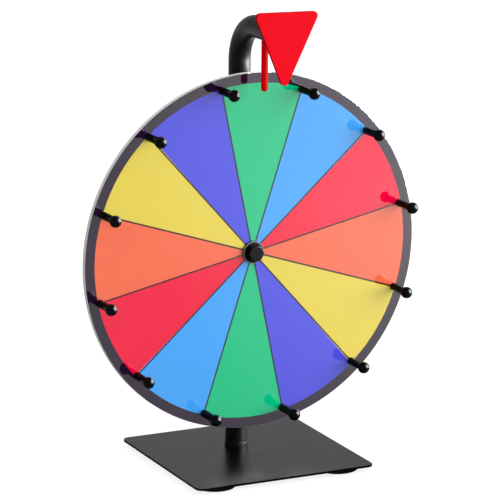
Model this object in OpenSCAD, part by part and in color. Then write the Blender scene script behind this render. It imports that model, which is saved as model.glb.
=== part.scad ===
// Tabletop prize wheel. A round disc with coloured sectors spins on ball bearings in front of a bent steel
// pole, and its pegs click past a flexible flapper that hangs beside a fixed pointer.
// Millimetres. The wheel faces -Y, +Z is up, and the origin is on the table under the middle of the base.

/* [Wheel disc] */
// Outer diameter of the wheel disc
wheel_d = 381; // [300:1:460]
// Thickness of the white foam board
board_t = 5; // [3:0.5:8]
// Thickness of the dark printed sheet on the board
print_t = 0.4; // [0.2:0.1:1]
// Thickness of the clear sheet over the print
cover_t = 1.1; // [0.6:0.1:3]
// Thickness of the colour printed on that sheet
ink_t = 0.1; // [0.05:0.01:0.15]
// Width of the dark band left round the edge
band_w = 11; // [4:0.2:11.6]
// Width of the dark line left between two sectors
line_w = 1.2; // [0.6:0.1:3]
// Number of coloured sectors, with a peg on each line between them
sector_count = 12; // [6:1:20]
// Angle from the top of the wheel to the sector line on its left
top_offset = 12; // [8:1:16]

/* [Stance] */
// Distance of the wheel's face in front of the middle of the base plate
face_forward = 9; // [0:0.5:30]
// Gap between the base plate and the bottom of the wheel
wheel_lift = 30; // [15:1:80]
// Height of the arm's centre line above the top of the wheel
arm_rise = 49; // [40:1:80]

/* [Pegs] */
// Distance of the peg circle from the disc's edge
peg_inset = 12.7; // [8:0.1:30]
// Diameter of a peg's shank
peg_shank_d = 8.2; // [6:0.1:10]
// Diameter of the ball on a peg's end
peg_ball_d = 12.6; // [9:0.1:14]
// Length of a peg from the wheel's face to the end of its ball
peg_len = 35.5; // [25:0.5:50]
// Diameter of the screw that holds a peg
peg_screw_d = 4; // [3:0.1:5]
// Diameter of a peg screw's head
peg_screw_head_d = 8; // [6:0.1:10]
// Height of a peg screw's head
peg_screw_head_h = 2.4; // [1.5:0.1:4]
// Length of the screw inside the peg
peg_screw_grip = 12; // [8:0.5:16]

/* [Bearings] */
// Bore of a ball bearing, and size of the axle
bearing_bore = 8; // [6:0.5:9]
// Outer diameter of a ball bearing
bearing_od = 22; // [20:0.5:26]
// Width of a ball bearing
bearing_w = 7; // [6:0.5:9]
// Diameter of a bearing ball
ball_d = 3.9; // [3:0.1:4.2]
// Number of balls in a bearing
ball_count = 7; // [6:1:8]
// Depth of the ball groove in a race
groove_depth = 0.45; // [0.3:0.05:0.7]
// Radial thickness of a ball cage
cage_t = 1.4; // [1:0.1:1.8]
// Width of the cage left on each side of a ball
cage_bridge = 0.6; // [0.4:0.1:0.9]

/* [Hub] */
// Wall of the hub barrel round the bearings
hub_wall = 3; // [2:0.1:5]
// Diameter of the hub flange behind the disc
hub_flange_d = 72; // [66:1:100]
// Thickness of the hub flange
hub_flange_t = 3; // [2:0.1:5]
// Thickness of the lip in front of the bearings
hub_lip_t = 1.1; // [0.8:0.1:2]
// Width by which the lip covers the front bearing's outer race
hub_lip_w = 1.6; // [1:0.1:2]
// Space between the hub's front end and the printed sheet
hub_front_gap = 0.4; // [0.2:0.1:1]
// Thickness of the ring that keeps the bearings in
circlip_t = 1; // [0.8:0.1:1.5]
// Depth of the ring's groove in the hub
circlip_bite = 0.6; // [0.4:0.1:1]
// Radial width of the ring
circlip_w = 1.9; // [1.5:0.1:2.2]
// Opening between the ring's two ends
circlip_gap = 5; // [3:0.5:8]
// Length of the hub barrel behind the ring
hub_tail = 1; // [0.8:0.1:2]
// Number of screws that hold the hub to the board
hub_screw_count = 6; // [3:1:8]
// Distance of the hub screws from the flange's edge
hub_screw_inset = 9; // [6:0.5:12]
// Diameter of a hub screw
hub_screw_d = 3.5; // [2.5:0.1:4]
// Diameter of a hub screw's head
hub_screw_head_d = 7; // [5:0.1:8]
// Height of a hub screw's head
hub_screw_head_h = 2.2; // [1.5:0.1:3]
// Board left in front of a hub screw's end
hub_screw_skin = 1; // [0.5:0.1:2]

/* [Axle] */
// Distance across the flats of the axle's head and nut
axle_af = 13; // [12:0.1:14]
// Height of the axle bolt's head
axle_head_h = 5.3; // [4:0.1:7]
// Height of the axle nut
axle_nut_h = 6.5; // [4:0.1:8]
// Chamfer on the corners of the axle's head and nut
axle_chamfer = 0.8; // [0.3:0.1:1.2]
// Step from an inner race's edge down to its spacer
spacer_step = 0.2; // [0.1:0.05:0.4]
// Length by which the front spacer stands out of the wheel's face
spacer_proud = 0.6; // [0.5:0.1:2]
// Room round the front spacer in the sheets' middle hole
face_hole_room = 1.2; // [0.8:0.1:2]
// Gap between the back of the hub and the front saddle
hub_saddle_gap = 1; // [0.5:0.1:4]
// Diameter of the saddle between the pole and the hub
front_saddle_d = 18; // [15:0.5:22]
// Thickness of the front saddle over the crown of the tube
front_saddle_t = 3.3; // [2:0.1:8]
// Diameter of the saddle under the axle's head
rear_saddle_d = 20; // [17:0.5:22]
// Thickness of the rear saddle over the crown of the tube
rear_saddle_t = 2.5; // [1.5:0.1:6]

/* [Nut cap] */
// Diameter of the cap's flange
cap_flange_d = 23.8; // [21:0.1:30]
// Thickness of the cap's flange
cap_flange_t = 2.6; // [1:0.1:3]
// Wall of the cap round the nut
cap_side = 1.6; // [1.5:0.1:2.4]
// Thickness of the cap's front wall
cap_wall = 3; // [2.4:0.1:4]
// Chamfer round the cap's front
cap_chamfer = 1.8; // [1:0.1:4]

/* [Pole] */
// Outer diameter of the pole
pole_d = 23.4; // [22.2:0.1:28]
// Wall of the pole
pole_wall = 1.5; // [1:0.1:2.5]
// Radius of the pole's bend, at its centre line
bend_r = 42; // [30:1:48]
// Length of the arm, from the pole's centre line to the tube's front end
arm_reach = 102.5; // [90:0.5:140]
// Step from the pole out to the collar at its foot
collar_step = 0.5; // [0.2:0.1:4]
// Height of that collar
collar_h = 5; // [3:0.5:12]
// Length of the insert inside the foot of the pole
insert_len = 20; // [16:1:40]

/* [Base] */
// Width of the base plate
plate_w = 205; // [180:1:300]
// Depth of the base plate
plate_l = 195; // [180:1:300]
// Thickness of the base plate
plate_t = 2.4; // [1.5:0.1:4]
// Radius of the plate's corners
plate_corner_r = 8; // [2:0.5:20]
// Diameter of a rubber foot
foot_d = 46; // [20:0.5:46]
// Rounding at the lower edge of a foot
foot_round = 1.5; // [0.5:0.1:3]
// Distance of a foot's middle from the plate's side edge
foot_inset_x = 31; // [25:0.5:40]
// Distance of a foot's middle from the plate's front or back edge
foot_inset_y = 28.5; // [25:0.5:40]
// Diameter of the bolt under the pole
base_bolt_d = 8; // [6:0.5:10]
// Length of that bolt under its head
base_bolt_len = 16; // [12:1:20]
// Diameter of its head
base_head_d = 16; // [13:0.5:20]
// Height of its head
base_head_h = 3.6; // [3:0.1:6]
// Distance across the flats of the socket in its head
base_socket_af = 5; // [4:0.5:6]
// Depth of that socket
base_socket_depth = 2.4; // [1.5:0.1:2.8]
// Diameter of the washer under its head
base_washer_d = 22; // [20:0.5:30]
// Thickness of that washer
base_washer_t = 1.2; // [0.8:0.1:2]
// Gap between that bolt's head and the table, which sets the height of the feet
floor_gap = 0.8; // [0.5:0.1:6]

/* [Pointer] */
// Width of the pointer, between its sharp corners
pointer_w = 74.5; // [50:0.5:100]
// Height of the pointer, between its sharp corners
pointer_h = 82; // [60:0.5:84]
// Radius of the pointer's corners
pointer_corner_r = 4.8; // [2:0.1:6]
// Thickness of the pointer
pointer_t = 3.5; // [2:0.1:6]
// Height of the pointer's top edge above the arm's centre line
pointer_rise = 24.9; // [20:0.1:40]
// Tilt of the pointer to the right
pointer_tilt = 1.5; // [0:0.1:5]
// Diameter of the stub behind the pointer
stub_d = 8; // [6:0.5:12]
// Length of that stub
stub_len = 12; // [8:0.5:13]
// Thickness of the flange on the plug in the arm's end
plug_flange_t = 1.6; // [1:0.1:4]
// Length of the plug inside the arm
plug_len = 15; // [12:0.5:20]

/* [Flapper] */
// Diameter of the flapper rod
flap_d = 7.2; // [5:0.1:8]
// Distance of the flapper in front of the wheel's face
flap_forward = 23.6; // [18:0.1:30]
// Length by which the flapper's tip reaches inside the peg circle
flap_bite = 3.1; // [1:0.1:5]
// Angle that the flapper can bend to each side
flap_swing = 40; // [30:1:42]
// Wall of the bush round the flapper's root
bush_wall = 2; // [1.5:0.1:3]
// Length of the bush above the flapper's root
bush_len = 6; // [4:0.5:9]

/* [Clearances] */
// Radial clearance of a close fit
fit_clear = 0.02; // [0.01:0.01:0.05]
// Radial clearance of a part that slips into another
slip_clear = 0.1; // [0.05:0.01:0.2]
// Radial clearance of a bolt in a plain hole
bolt_clear = 0.2; // [0.1:0.05:0.5]
// Clearance between the axle nut's front and the inside of its cap
cap_room = 0.3; // [0.1:0.1:1]
// Clearance of a saddle on the curve of the tube
seat_clear = 0.05; // [0.02:0.01:0.1]
// Clearance between the spinning disc and what stays still
run_clear = 0.4; // [0.3:0.05:0.5]
// Clearance round the bending flapper
swing_clear = 0.3; // [0.2:0.05:0.5]
// Radial clearance of a ball in its groove
race_clear = 0.05; // [0.03:0.01:0.08]
// Clearance of a ball in its cage
pocket_clear = 0.15; // [0.1:0.01:0.25]
// Room past the end of a screw or stub in a blind hole
hole_room = 1; // [0.5:0.1:2]

/* [Hidden] */
$fn = 96;
// Overshoot of a cut past the face that it opens
cut = 1;

// Heights
foot_h = floor_gap + base_head_h + base_washer_t;
plate_top = foot_h + plate_t;
wheel_r = wheel_d / 2;
axle_h = plate_top + wheel_lift + wheel_r;
arm_h = axle_h + wheel_r + arm_rise;
pole_foot = plate_top + collar_h;

// The wheel's layers, from the front to the back
face_y = -face_forward;
print_y = face_y + cover_t;
board_y = print_y + print_t;
board_back_y = board_y + board_t;

// Peg circle, and the sector line next to the flapper
peg_r = wheel_r - peg_inset;
peg_ball_z = peg_len - peg_ball_d / 2;
first_line = 90 + top_offset;
sector_angle = 360 / sector_count;

// Bearings, one behind the other
pitch_r = (bearing_bore + bearing_od) / 4;
groove_r = ball_d / 2 + race_clear;
inner_race_r = pitch_r - ball_d / 2 + groove_depth;
outer_race_r = pitch_r + ball_d / 2 - groove_depth;
hub_front_y = board_y + hub_front_gap;
front_bearing_y = hub_front_y + hub_lip_t;
rear_bearing_y = front_bearing_y + bearing_w;
bearings_back_y = rear_bearing_y + bearing_w;
cage_w = ball_d + 2 * pocket_clear + 2 * cage_bridge;
axle_d = bearing_bore - 2 * fit_clear;

// Hub
hub_bore_d = bearing_od + 2 * fit_clear;
hub_od = hub_bore_d + 2 * hub_wall;
hub_back_y = bearings_back_y + circlip_t + hub_tail;
flange_back_y = board_back_y + hub_flange_t;
hub_screw_r = hub_flange_d / 2 - hub_screw_inset;
hub_screw_depth = board_t - hub_screw_skin;

// Axle line and pole
spacer_d = 2 * (inner_race_r - spacer_step);
face_hole_d = spacer_d + 2 * face_hole_room;
spacer_front_y = face_y - spacer_proud;
nut_front_y = spacer_front_y - axle_nut_h;
saddle_front_y = hub_back_y + hub_saddle_gap;
pole_r = pole_d / 2;
pole_bore_d = pole_d - 2 * pole_wall;
collar_d = pole_d + 2 * collar_step;
pole_y = saddle_front_y + front_saddle_t + pole_r;
head_front_y = pole_y + pole_r + rear_saddle_t;
arm_end_y = pole_y - arm_reach;

// Nut cap
cap_socket_af = axle_af + 2 * slip_clear;
cap_af = cap_socket_af + 2 * cap_side;
cap_back_y = face_y - run_clear;
cap_inner_y = nut_front_y - cap_room;
cap_front_y = cap_inner_y - cap_wall;

// Bolt under the pole
base_head_top = foot_h - base_washer_t;
base_bolt_top = base_head_top + base_bolt_len;

// Pointer
pointer_back_y = arm_end_y - plug_flange_t;
pointer_half_angle = atan(pointer_w / 2 / pointer_h);
stub_hole_d = stub_d + 2 * fit_clear;
// Steps in each of the pointer's round corners
corner_steps = 12;

// Flapper: it bends about the middle of its round root, at the arm's underside
flap_y = face_y - flap_forward;
flap_root_h = arm_h - pole_r;
flap_tip_h = axle_h + peg_r - flap_bite;
bush_bore_r = flap_d / 2 + swing_clear;
bush_r = bush_bore_r + bush_wall;
// Radius that the bent flapper needs at a depth below its root
function flare_r(depth) = bush_bore_r / cos(flap_swing) + depth * tan(flap_swing);
flare_start = bush_bore_r * (1 - 1 / cos(flap_swing)) / tan(flap_swing);

// Colours, with the sectors' in order from the top, clockwise
sector_colours = ["#1fb36b", "#2e8fff", "#f5143c", "#ff6a3d", "#f2dc3c", "#4a3fd6"];
band_colour = "#2b292c";
powder_black = "#2e2e2f";
plastic_black = "#141416";
zinc = "#b9bcc0";
bearing_steel = "#d3d6d9";

peg_names = [for (i = [1 : sector_count]) str("peg_", i)];
foot_names = ["foot_front_left", "foot_front_right", "foot_rear_left", "foot_rear_right"];
foot_sides = [[-1, -1], [1, -1], [-1, 1], [1, 1]];

// Puts its children on the wheel's axle at y, with their +Z to the front
module on_axle(y) translate([0, y, axle_h]) rotate([90, 0, 0]) children();

// Puts a copy of its children on each sector line, at radius r
module on_lines(r)
    for (i = [0 : sector_count - 1]) rotate(first_line + i * sector_angle) translate([r, 0, 0]) children();

// Flat ring or tube
module ring(od, id, h) difference() {
    cylinder(d = od, h = h);
    translate([0, 0, -cut]) cylinder(d = id, h = h + 2 * cut);
}

// Prism with six sides, by the distance across its flats
module hexagon(af, h) cylinder(d = af / cos(30), h = h, $fn = 6);

// Six-sided head whose corners are turned off at its outer end
module hex_head(af, h, chamfer) {
    corner_d = af / cos(30);
    intersection() {
        hexagon(af, h);
        union() {
            cylinder(d = corner_d + cut, h = h - chamfer);
            translate([0, 0, h - chamfer])
                cylinder(d1 = corner_d, d2 = corner_d - 2 * chamfer, h = chamfer);
        }
    }
}

// Pan head with a turned-off edge and a cross slot, its shank along +Z
module pan_screw(d, length, head_d, head_h) {
    slot_w = head_d / 6;
    slot_l = head_d * 0.6;
    edge = head_h / 3;
    difference() {
        union() {
            translate([0, 0, -head_h]) cylinder(d1 = head_d - 2 * edge, d2 = head_d, h = edge);
            translate([0, 0, edge - head_h]) cylinder(d = head_d, h = head_h - edge);
            cylinder(d = d, h = length);
        }
        for (turn = [0, 90])
            rotate(turn) translate([-slot_l / 2, -slot_w / 2, -head_h - cut])
                cube([slot_l, slot_w, cut + head_h / 2]);
    }
}

// Solid along the bent pole's centre line, with its ends lengthened by extra
module pole_path(d, extra = 0) {
    bend_y = pole_y - bend_r;
    bend_h = arm_h - bend_r;
    translate([0, pole_y, pole_foot - extra]) cylinder(d = d, h = bend_h - pole_foot + extra);
    translate([0, bend_y, bend_h]) rotate([90, 0, 90])
        rotate_extrude(angle = 90) translate([bend_r, 0]) circle(d = d);
    translate([0, bend_y, arm_h]) rotate([90, 0, 0]) cylinder(d = d, h = bend_y - arm_end_y + extra);
}

// Outer surface of the pole at the axle, with the seat's clearance
module pole_seat()
    translate([0, pole_y, axle_h - wheel_r]) cylinder(r = pole_r + seat_clear, h = wheel_d);

module base_plate() color(powder_black) difference() {
    inner_w = plate_w - 2 * plate_corner_r;
    inner_l = plate_l - 2 * plate_corner_r;
    translate([0, 0, foot_h]) union() {
        translate([-plate_w / 2, -inner_l / 2, 0]) cube([plate_w, inner_l, plate_t]);
        translate([-inner_w / 2, -plate_l / 2, 0]) cube([inner_w, plate_l, plate_t]);
        for (side = foot_sides)
            translate([side[0] * inner_w / 2, side[1] * inner_l / 2, 0])
                cylinder(r = plate_corner_r, h = plate_t);
    }
    translate([0, pole_y, foot_h - cut]) cylinder(d = base_bolt_d + 2 * bolt_clear, h = plate_t + 2 * cut);
}

// Round pad with a rounded lower edge
module foot(side) {
    foot_r = foot_d / 2;
    foot_x = plate_w / 2 - foot_inset_x;
    foot_y = plate_l / 2 - foot_inset_y;
    color(plastic_black) translate([side[0] * foot_x, side[1] * foot_y, 0]) rotate_extrude() {
        square([foot_r - foot_round, foot_h]);
        translate([0, foot_round]) square([foot_r, foot_h - foot_round]);
        translate([foot_r - foot_round, foot_round]) circle(r = foot_round);
    }
}

module base_bolt() color(zinc) translate([0, pole_y, 0]) difference() {
    bevel = base_head_h / 3;
    union() {
        translate([0, 0, base_head_top]) cylinder(d = base_bolt_d, h = base_bolt_len);
        translate([0, 0, floor_gap + bevel]) cylinder(d = base_head_d, h = base_head_h - bevel);
        translate([0, 0, floor_gap]) cylinder(d1 = base_head_d - 2 * bevel, d2 = base_head_d, h = bevel);
    }
    translate([0, 0, floor_gap - cut]) hexagon(base_socket_af, base_socket_depth + cut);
}

module base_washer() color(zinc)
    translate([0, pole_y, base_head_top]) ring(base_washer_d, base_bolt_d + 2 * bolt_clear, base_washer_t);

// Threaded plug in the foot of the pole, whose collar stands on the plate
module pole_insert() color(powder_black) translate([0, pole_y, plate_top]) difference() {
    union() {
        cylinder(d = collar_d, h = collar_h);
        cylinder(d = pole_bore_d - 2 * slip_clear, h = collar_h + insert_len);
    }
    translate([0, 0, -cut])
        cylinder(d = base_bolt_d + 2 * fit_clear, h = base_bolt_top - plate_top + hole_room + cut);
}

module pole() color(powder_black) difference() {
    pole_path(pole_d);
    pole_path(pole_bore_d, cut);
    on_axle(pole_y + pole_d) cylinder(d = bearing_bore + 2 * slip_clear, h = 2 * pole_d);
    translate([0, flap_y, arm_h - pole_d]) cylinder(r = bush_r + slip_clear, h = pole_d);
}

module axle_bolt() color(zinc) {
    on_axle(head_front_y) cylinder(d = axle_d, h = head_front_y - nut_front_y);
    on_axle(head_front_y) mirror([0, 0, 1]) hex_head(axle_af, axle_head_h, axle_chamfer);
}

module rear_saddle() color(plastic_black) difference() {
    on_axle(head_front_y) ring(rear_saddle_d, bearing_bore + 2 * slip_clear, head_front_y - pole_y);
    pole_seat();
}

module front_saddle() color(plastic_black) difference() {
    on_axle(pole_y) ring(front_saddle_d, bearing_bore + 2 * slip_clear, pole_y - saddle_front_y);
    pole_seat();
}

// Tube on the axle that spaces a bearing's inner race from what holds it
module spacer(h) color(zinc) ring(spacer_d, bearing_bore + 2 * slip_clear, h);

module rear_spacer() on_axle(saddle_front_y) spacer(saddle_front_y - bearings_back_y);
module front_spacer() on_axle(front_bearing_y) spacer(front_bearing_y - spacer_front_y);

module axle_nut() color(zinc) on_axle(spacer_front_y) difference() {
    hex_head(axle_af, axle_nut_h, axle_chamfer);
    translate([0, 0, -cut]) cylinder(d = bearing_bore, h = axle_nut_h + 2 * cut);
}

// Push-on cap with six flats and a round flange
module nut_cap() color(plastic_black) on_axle(cap_back_y) difference() {
    union() {
        cylinder(d = cap_flange_d, h = cap_flange_t);
        hex_head(cap_af, cap_back_y - cap_front_y, cap_chamfer);
    }
    translate([0, 0, -cut]) hexagon(cap_socket_af, cap_back_y - cap_inner_y + cut);
}

// Race of a bearing: a ring whose ball groove is centred on the pitch circle
module race(id, od) rotate_extrude() difference() {
    translate([id / 2, 0]) square([(od - id) / 2, bearing_w]);
    translate([pitch_r, bearing_w / 2]) circle(r = groove_r);
}

module inner_race() color(bearing_steel) race(bearing_bore, 2 * inner_race_r);

module outer_race() color(bearing_steel) race(2 * outer_race_r, bearing_od);

// Puts a copy of its children at the middle of each ball
module at_balls()
    for (i = [0 : ball_count - 1])
        rotate(i * 360 / ball_count) translate([pitch_r, 0, bearing_w / 2]) children();

module balls() color(bearing_steel) at_balls() sphere(d = ball_d);

module cage() color("#c9a45c") difference() {
    translate([0, 0, (bearing_w - cage_w) / 2]) ring(2 * pitch_r + cage_t, 2 * pitch_r - cage_t, cage_w);
    at_balls() rotate([0, 90, 0]) cylinder(r = ball_d / 2 + pocket_clear, h = 2 * cage_t, center = true);
}

module front_inner_race() on_axle(rear_bearing_y) inner_race();
module front_outer_race() on_axle(rear_bearing_y) outer_race();
module front_balls() on_axle(rear_bearing_y) balls();
module front_cage() on_axle(rear_bearing_y) cage();
module rear_inner_race() on_axle(bearings_back_y) inner_race();
module rear_outer_race() on_axle(bearings_back_y) outer_race();
module rear_balls() on_axle(bearings_back_y) balls();
module rear_cage() on_axle(bearings_back_y) cage();

// Flanged barrel behind the disc, with a lip in front of the bearings and a groove behind them
module hub_housing() color(plastic_black) difference() {
    union() {
        on_axle(hub_back_y) cylinder(d = hub_od, h = hub_back_y - hub_front_y);
        on_axle(flange_back_y) cylinder(d = hub_flange_d, h = hub_flange_t);
    }
    on_axle(hub_back_y + cut) cylinder(d = hub_bore_d, h = hub_back_y + cut - front_bearing_y);
    on_axle(front_bearing_y + cut) cylinder(d = bearing_od - 2 * hub_lip_w, h = hub_lip_t + 2 * cut);
    on_axle(bearings_back_y + circlip_t) cylinder(d = hub_bore_d + 2 * circlip_bite, h = circlip_t);
    on_axle(flange_back_y) hub_screw_holes(hub_flange_t + cut);
}

// Split ring in the hub's groove
module hub_circlip() color(zinc) on_axle(bearings_back_y + circlip_t) difference() {
    circlip_od = hub_bore_d + 2 * circlip_bite - 2 * slip_clear;
    ring(circlip_od, hub_bore_d + 2 * circlip_bite - 2 * circlip_w, circlip_t);
    translate([0, -circlip_gap / 2, -cut]) cube([circlip_od, circlip_gap, circlip_t + 2 * cut]);
}

// Puts a copy of its children on each hub screw's place
module at_hub_screws()
    for (i = [0 : hub_screw_count - 1])
        rotate(i * 360 / hub_screw_count) translate([hub_screw_r, 0, 0]) children();

module hub_screw_holes(depth)
    at_hub_screws() translate([0, 0, -cut]) cylinder(d = hub_screw_d + 2 * fit_clear, h = depth + cut);

module hub_screws() color(zinc) on_axle(flange_back_y) at_hub_screws()
    pan_screw(hub_screw_d, hub_flange_t + hub_screw_depth, hub_screw_head_d, hub_screw_head_h);

module peg_screw_holes(depth)
    on_lines(peg_r) translate([0, 0, -cut]) cylinder(d = peg_screw_d + 2 * fit_clear, h = depth + 2 * cut);

module disc_board() color("white") on_axle(board_back_y) difference() {
    ring(wheel_d, hub_od + 2 * slip_clear, board_t);
    hub_screw_holes(hub_screw_depth);
    peg_screw_holes(board_t);
}

// Dark sheet with a field of colour on each sector, and its own dark band and lines left between them
module face_print() on_axle(board_y) difference() {
    union() {
        color(band_colour) ring(wheel_d, face_hole_d, print_t - ink_t);
        for (i = [0 : sector_count - 1]) color(sector_colours[i % len(sector_colours)]) sector_field(i);
    }
    peg_screw_holes(print_t);
}

// Field number i, clockwise from the top: the part of a ring between two lines
module sector_field(i) intersection() {
    half = sector_angle / 2;
    ring(wheel_d - 2 * band_w, face_hole_d, print_t);
    rotate(first_line - (i + 1 / 2) * sector_angle) translate([line_w / 2 / sin(half), 0, -cut])
        linear_extrude(print_t + 2 * cut)
            polygon([[0, 0], wheel_d * [cos(half), -sin(half)], wheel_d * [cos(half), sin(half)]]);
}

module clear_cover() color("aliceblue", 0.3) on_axle(print_y) difference() {
    ring(wheel_d, face_hole_d, cover_t);
    peg_screw_holes(cover_t);
}

// Peg with a ball end, threaded for its screw
module peg(i) color(plastic_black) on_axle(face_y)
    rotate(first_line + i * sector_angle) translate([peg_r, 0, 0]) difference() {
        union() {
            cylinder(d = peg_shank_d, h = peg_ball_z);
            translate([0, 0, peg_ball_z]) sphere(d = peg_ball_d);
        }
        translate([0, 0, -cut])
            cylinder(d = peg_screw_d + 2 * fit_clear, h = peg_screw_grip + hole_room + cut);
    }

module peg_screws() color(zinc) on_axle(board_back_y) on_lines(peg_r)
    pan_screw(peg_screw_d, board_back_y - face_y + peg_screw_grip, peg_screw_head_d, peg_screw_head_h);

// Puts its children on the arm's centre line at y, with their +Z to the front
module on_arm(y) translate([0, y, arm_h]) rotate([90, 0, 0]) children();

module end_plug() color(plastic_black) on_arm(arm_end_y) difference() {
    union() {
        cylinder(d = pole_d, h = plug_flange_t);
        translate([0, 0, -plug_len])
            cylinder(d = pole_bore_d - 2 * slip_clear, h = plug_len + plug_flange_t);
    }
    translate([0, 0, plug_flange_t - stub_len - hole_room])
        cylinder(d = stub_hole_d, h = stub_len + hole_room + cut);
}

// Points round one of the pointer's corners, clockwise from one angle to the other
function corner_points(middle, from, to) = [
    for (i = [0 : corner_steps])
        let (angle = from + (to - from) * i / corner_steps)
        middle + pointer_corner_r * [cos(angle), sin(angle)]
];

// Triangle that points down, with round corners
module rounded_triangle() {
    slant = pointer_half_angle;
    top = pointer_rise - pointer_corner_r;
    tip = pointer_rise - pointer_h + pointer_corner_r / sin(slant);
    half_w = pointer_w / 2 - pointer_corner_r * tan(45 + slant / 2);
    polygon(concat(
        corner_points([half_w, top], 90, -slant),
        corner_points([0, tip], -slant, slant - 180),
        corner_points([-half_w, top], slant - 180, -270)
    ));
}

module pointer() color("#ff0f28") on_arm(pointer_back_y) {
    rotate(-pointer_tilt) linear_extrude(pointer_t) rounded_triangle();
    translate([0, 0, -stub_len]) cylinder(d = stub_d, h = stub_len + pointer_t / 2);
}

// Puts its children at the flapper's root
module at_flap_root() translate([0, flap_y, flap_root_h]) children();

// Bush in the arm, flush with its underside and flared so that the flapper can bend
module flapper_bush() color(plastic_black) difference() {
    intersection() {
        at_flap_root() translate([0, 0, -cut]) cylinder(r = bush_r, h = bush_len + cut);
        on_arm(pole_y) cylinder(r = pole_r, h = arm_reach);
    }
    at_flap_root() cylinder(r = bush_bore_r, h = bush_len + cut);
    at_flap_root() translate([0, 0, -cut])
        cylinder(r1 = flare_r(cut), r2 = bush_bore_r, h = cut - flare_start);
}

// Rod with a round root and a round tip
module flapper() {
    flap_r = flap_d / 2;
    reach = flap_root_h - flap_tip_h - flap_r;
    color("#c8060e") at_flap_root() {
        sphere(r = flap_r);
        translate([0, 0, -reach]) cylinder(r = flap_r, h = reach);
        translate([0, 0, -reach]) sphere(r = flap_r);
    }
}

base_plate();
for (i = [0 : 3]) foot(foot_sides[i]);
base_bolt();
base_washer();
pole_insert();
pole();
axle_bolt();
rear_saddle();
front_saddle();
rear_spacer();
front_spacer();
axle_nut();
nut_cap();
front_inner_race();
front_balls();
front_cage();
front_outer_race();
rear_inner_race();
rear_balls();
rear_cage();
rear_outer_race();
hub_housing();
hub_circlip();
hub_screws();
disc_board();
face_print();
for (i = [0 : sector_count - 1]) peg(i);
peg_screws();
clear_cover();
end_plug();
pointer();
flapper_bush();
flapper();
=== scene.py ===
import math

import bmesh
import bpy
from bpy.props import FloatProperty, FloatVectorProperty, IntProperty, PointerProperty
from mathutils import Matrix, Vector


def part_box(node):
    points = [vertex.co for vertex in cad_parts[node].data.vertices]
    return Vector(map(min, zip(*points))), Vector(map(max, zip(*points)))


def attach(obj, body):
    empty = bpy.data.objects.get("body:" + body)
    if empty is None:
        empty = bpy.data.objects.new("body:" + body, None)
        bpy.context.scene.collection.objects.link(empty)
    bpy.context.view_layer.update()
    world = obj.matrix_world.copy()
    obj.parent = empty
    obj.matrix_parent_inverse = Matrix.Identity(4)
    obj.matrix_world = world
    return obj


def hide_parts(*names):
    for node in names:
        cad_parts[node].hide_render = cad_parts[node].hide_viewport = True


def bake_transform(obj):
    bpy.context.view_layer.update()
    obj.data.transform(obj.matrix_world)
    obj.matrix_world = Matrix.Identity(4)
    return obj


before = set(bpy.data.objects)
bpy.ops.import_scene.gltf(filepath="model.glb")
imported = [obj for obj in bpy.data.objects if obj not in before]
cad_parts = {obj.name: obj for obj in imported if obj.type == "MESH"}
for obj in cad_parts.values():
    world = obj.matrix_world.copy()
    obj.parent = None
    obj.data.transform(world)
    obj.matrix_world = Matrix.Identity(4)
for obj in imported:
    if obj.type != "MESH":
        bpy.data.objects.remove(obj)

bl_info = {
    "name": "Tabletop Prize Wheel",
    "version": (1, 0, 0),
    "blender": (4, 5, 0),
    "location": "View3D > Sidebar > Prize Wheel",
    "description": "Dresses the packed prize wheel with finished pieces, materials and a stage",
    "category": "Object",
}

MM = 0.001
RIGHT_ANGLE = math.radians(90)
# Angle up to which two faces are shaded as one
SMOOTH_ANGLE = math.radians(35)
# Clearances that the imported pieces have
FIT_CLEAR = 0.02 * MM
SADDLE_CLEAR = 0.05 * MM
SLIP_CLEAR = 0.1 * MM
AXLE_CLEAR = 0.12 * MM
BOLT_CLEAR = 0.2 * MM
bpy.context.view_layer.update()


def low(node):
    """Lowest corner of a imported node"""
    return Vector(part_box(node)[0])


def high(node):
    """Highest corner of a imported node"""
    return Vector(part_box(node)[1])


# Places that several pieces share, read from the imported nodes
DISC_R = high("disc_board").x
AXLE_HEIGHT = (low("disc_board").z + high("disc_board").z) / 2
FACE_Y = low("clear_cover").y
BOARD_FRONT_Y = low("disc_board").y
BOARD_BACK_Y = high("disc_board").y
TUBE_R = high("pole").x
POLE_Y = high("pole").y - TUBE_R
ARM_HEIGHT = high("pole").z - TUBE_R
ARM_END_Y = low("pole").y
FLAP_R = high("flapper").x
FLAP_Y = (low("flapper").y + high("flapper").y) / 2
FLAP_ROOT = high("flapper").z - FLAP_R
PEG_COUNT = len([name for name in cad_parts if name.startswith("peg_") and name != "peg_screws"])


# Property factories

def length(name, description, millimetres):
    """Length property, with its default in millimetres"""
    return FloatProperty(name=name, description=description, default=millimetres * MM, min=0.0,
                         unit="LENGTH", precision=5)


def turn(name, description, degrees):
    """Angle property, with its default in degrees"""
    return FloatProperty(name=name, description=description, default=math.radians(degrees), subtype="ANGLE")


def share(name, description, default):
    """Property between 0 and 1"""
    return FloatProperty(name=name, description=description, default=default, min=0.0, max=1.0,
                         subtype="FACTOR")


def power(name, description, watts):
    """Power property of a light"""
    return FloatProperty(name=name, description=description, default=watts, unit="POWER")


def count(name, description, default, least=0):
    """Property with a whole number"""
    return IntProperty(name=name, description=description, default=default, min=least)


def tint(name, description, default):
    """Colour property, in linear values"""
    return FloatVectorProperty(name=name, description=description, default=default, size=3, min=0.0, max=1.0,
                               subtype="COLOR")


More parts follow.
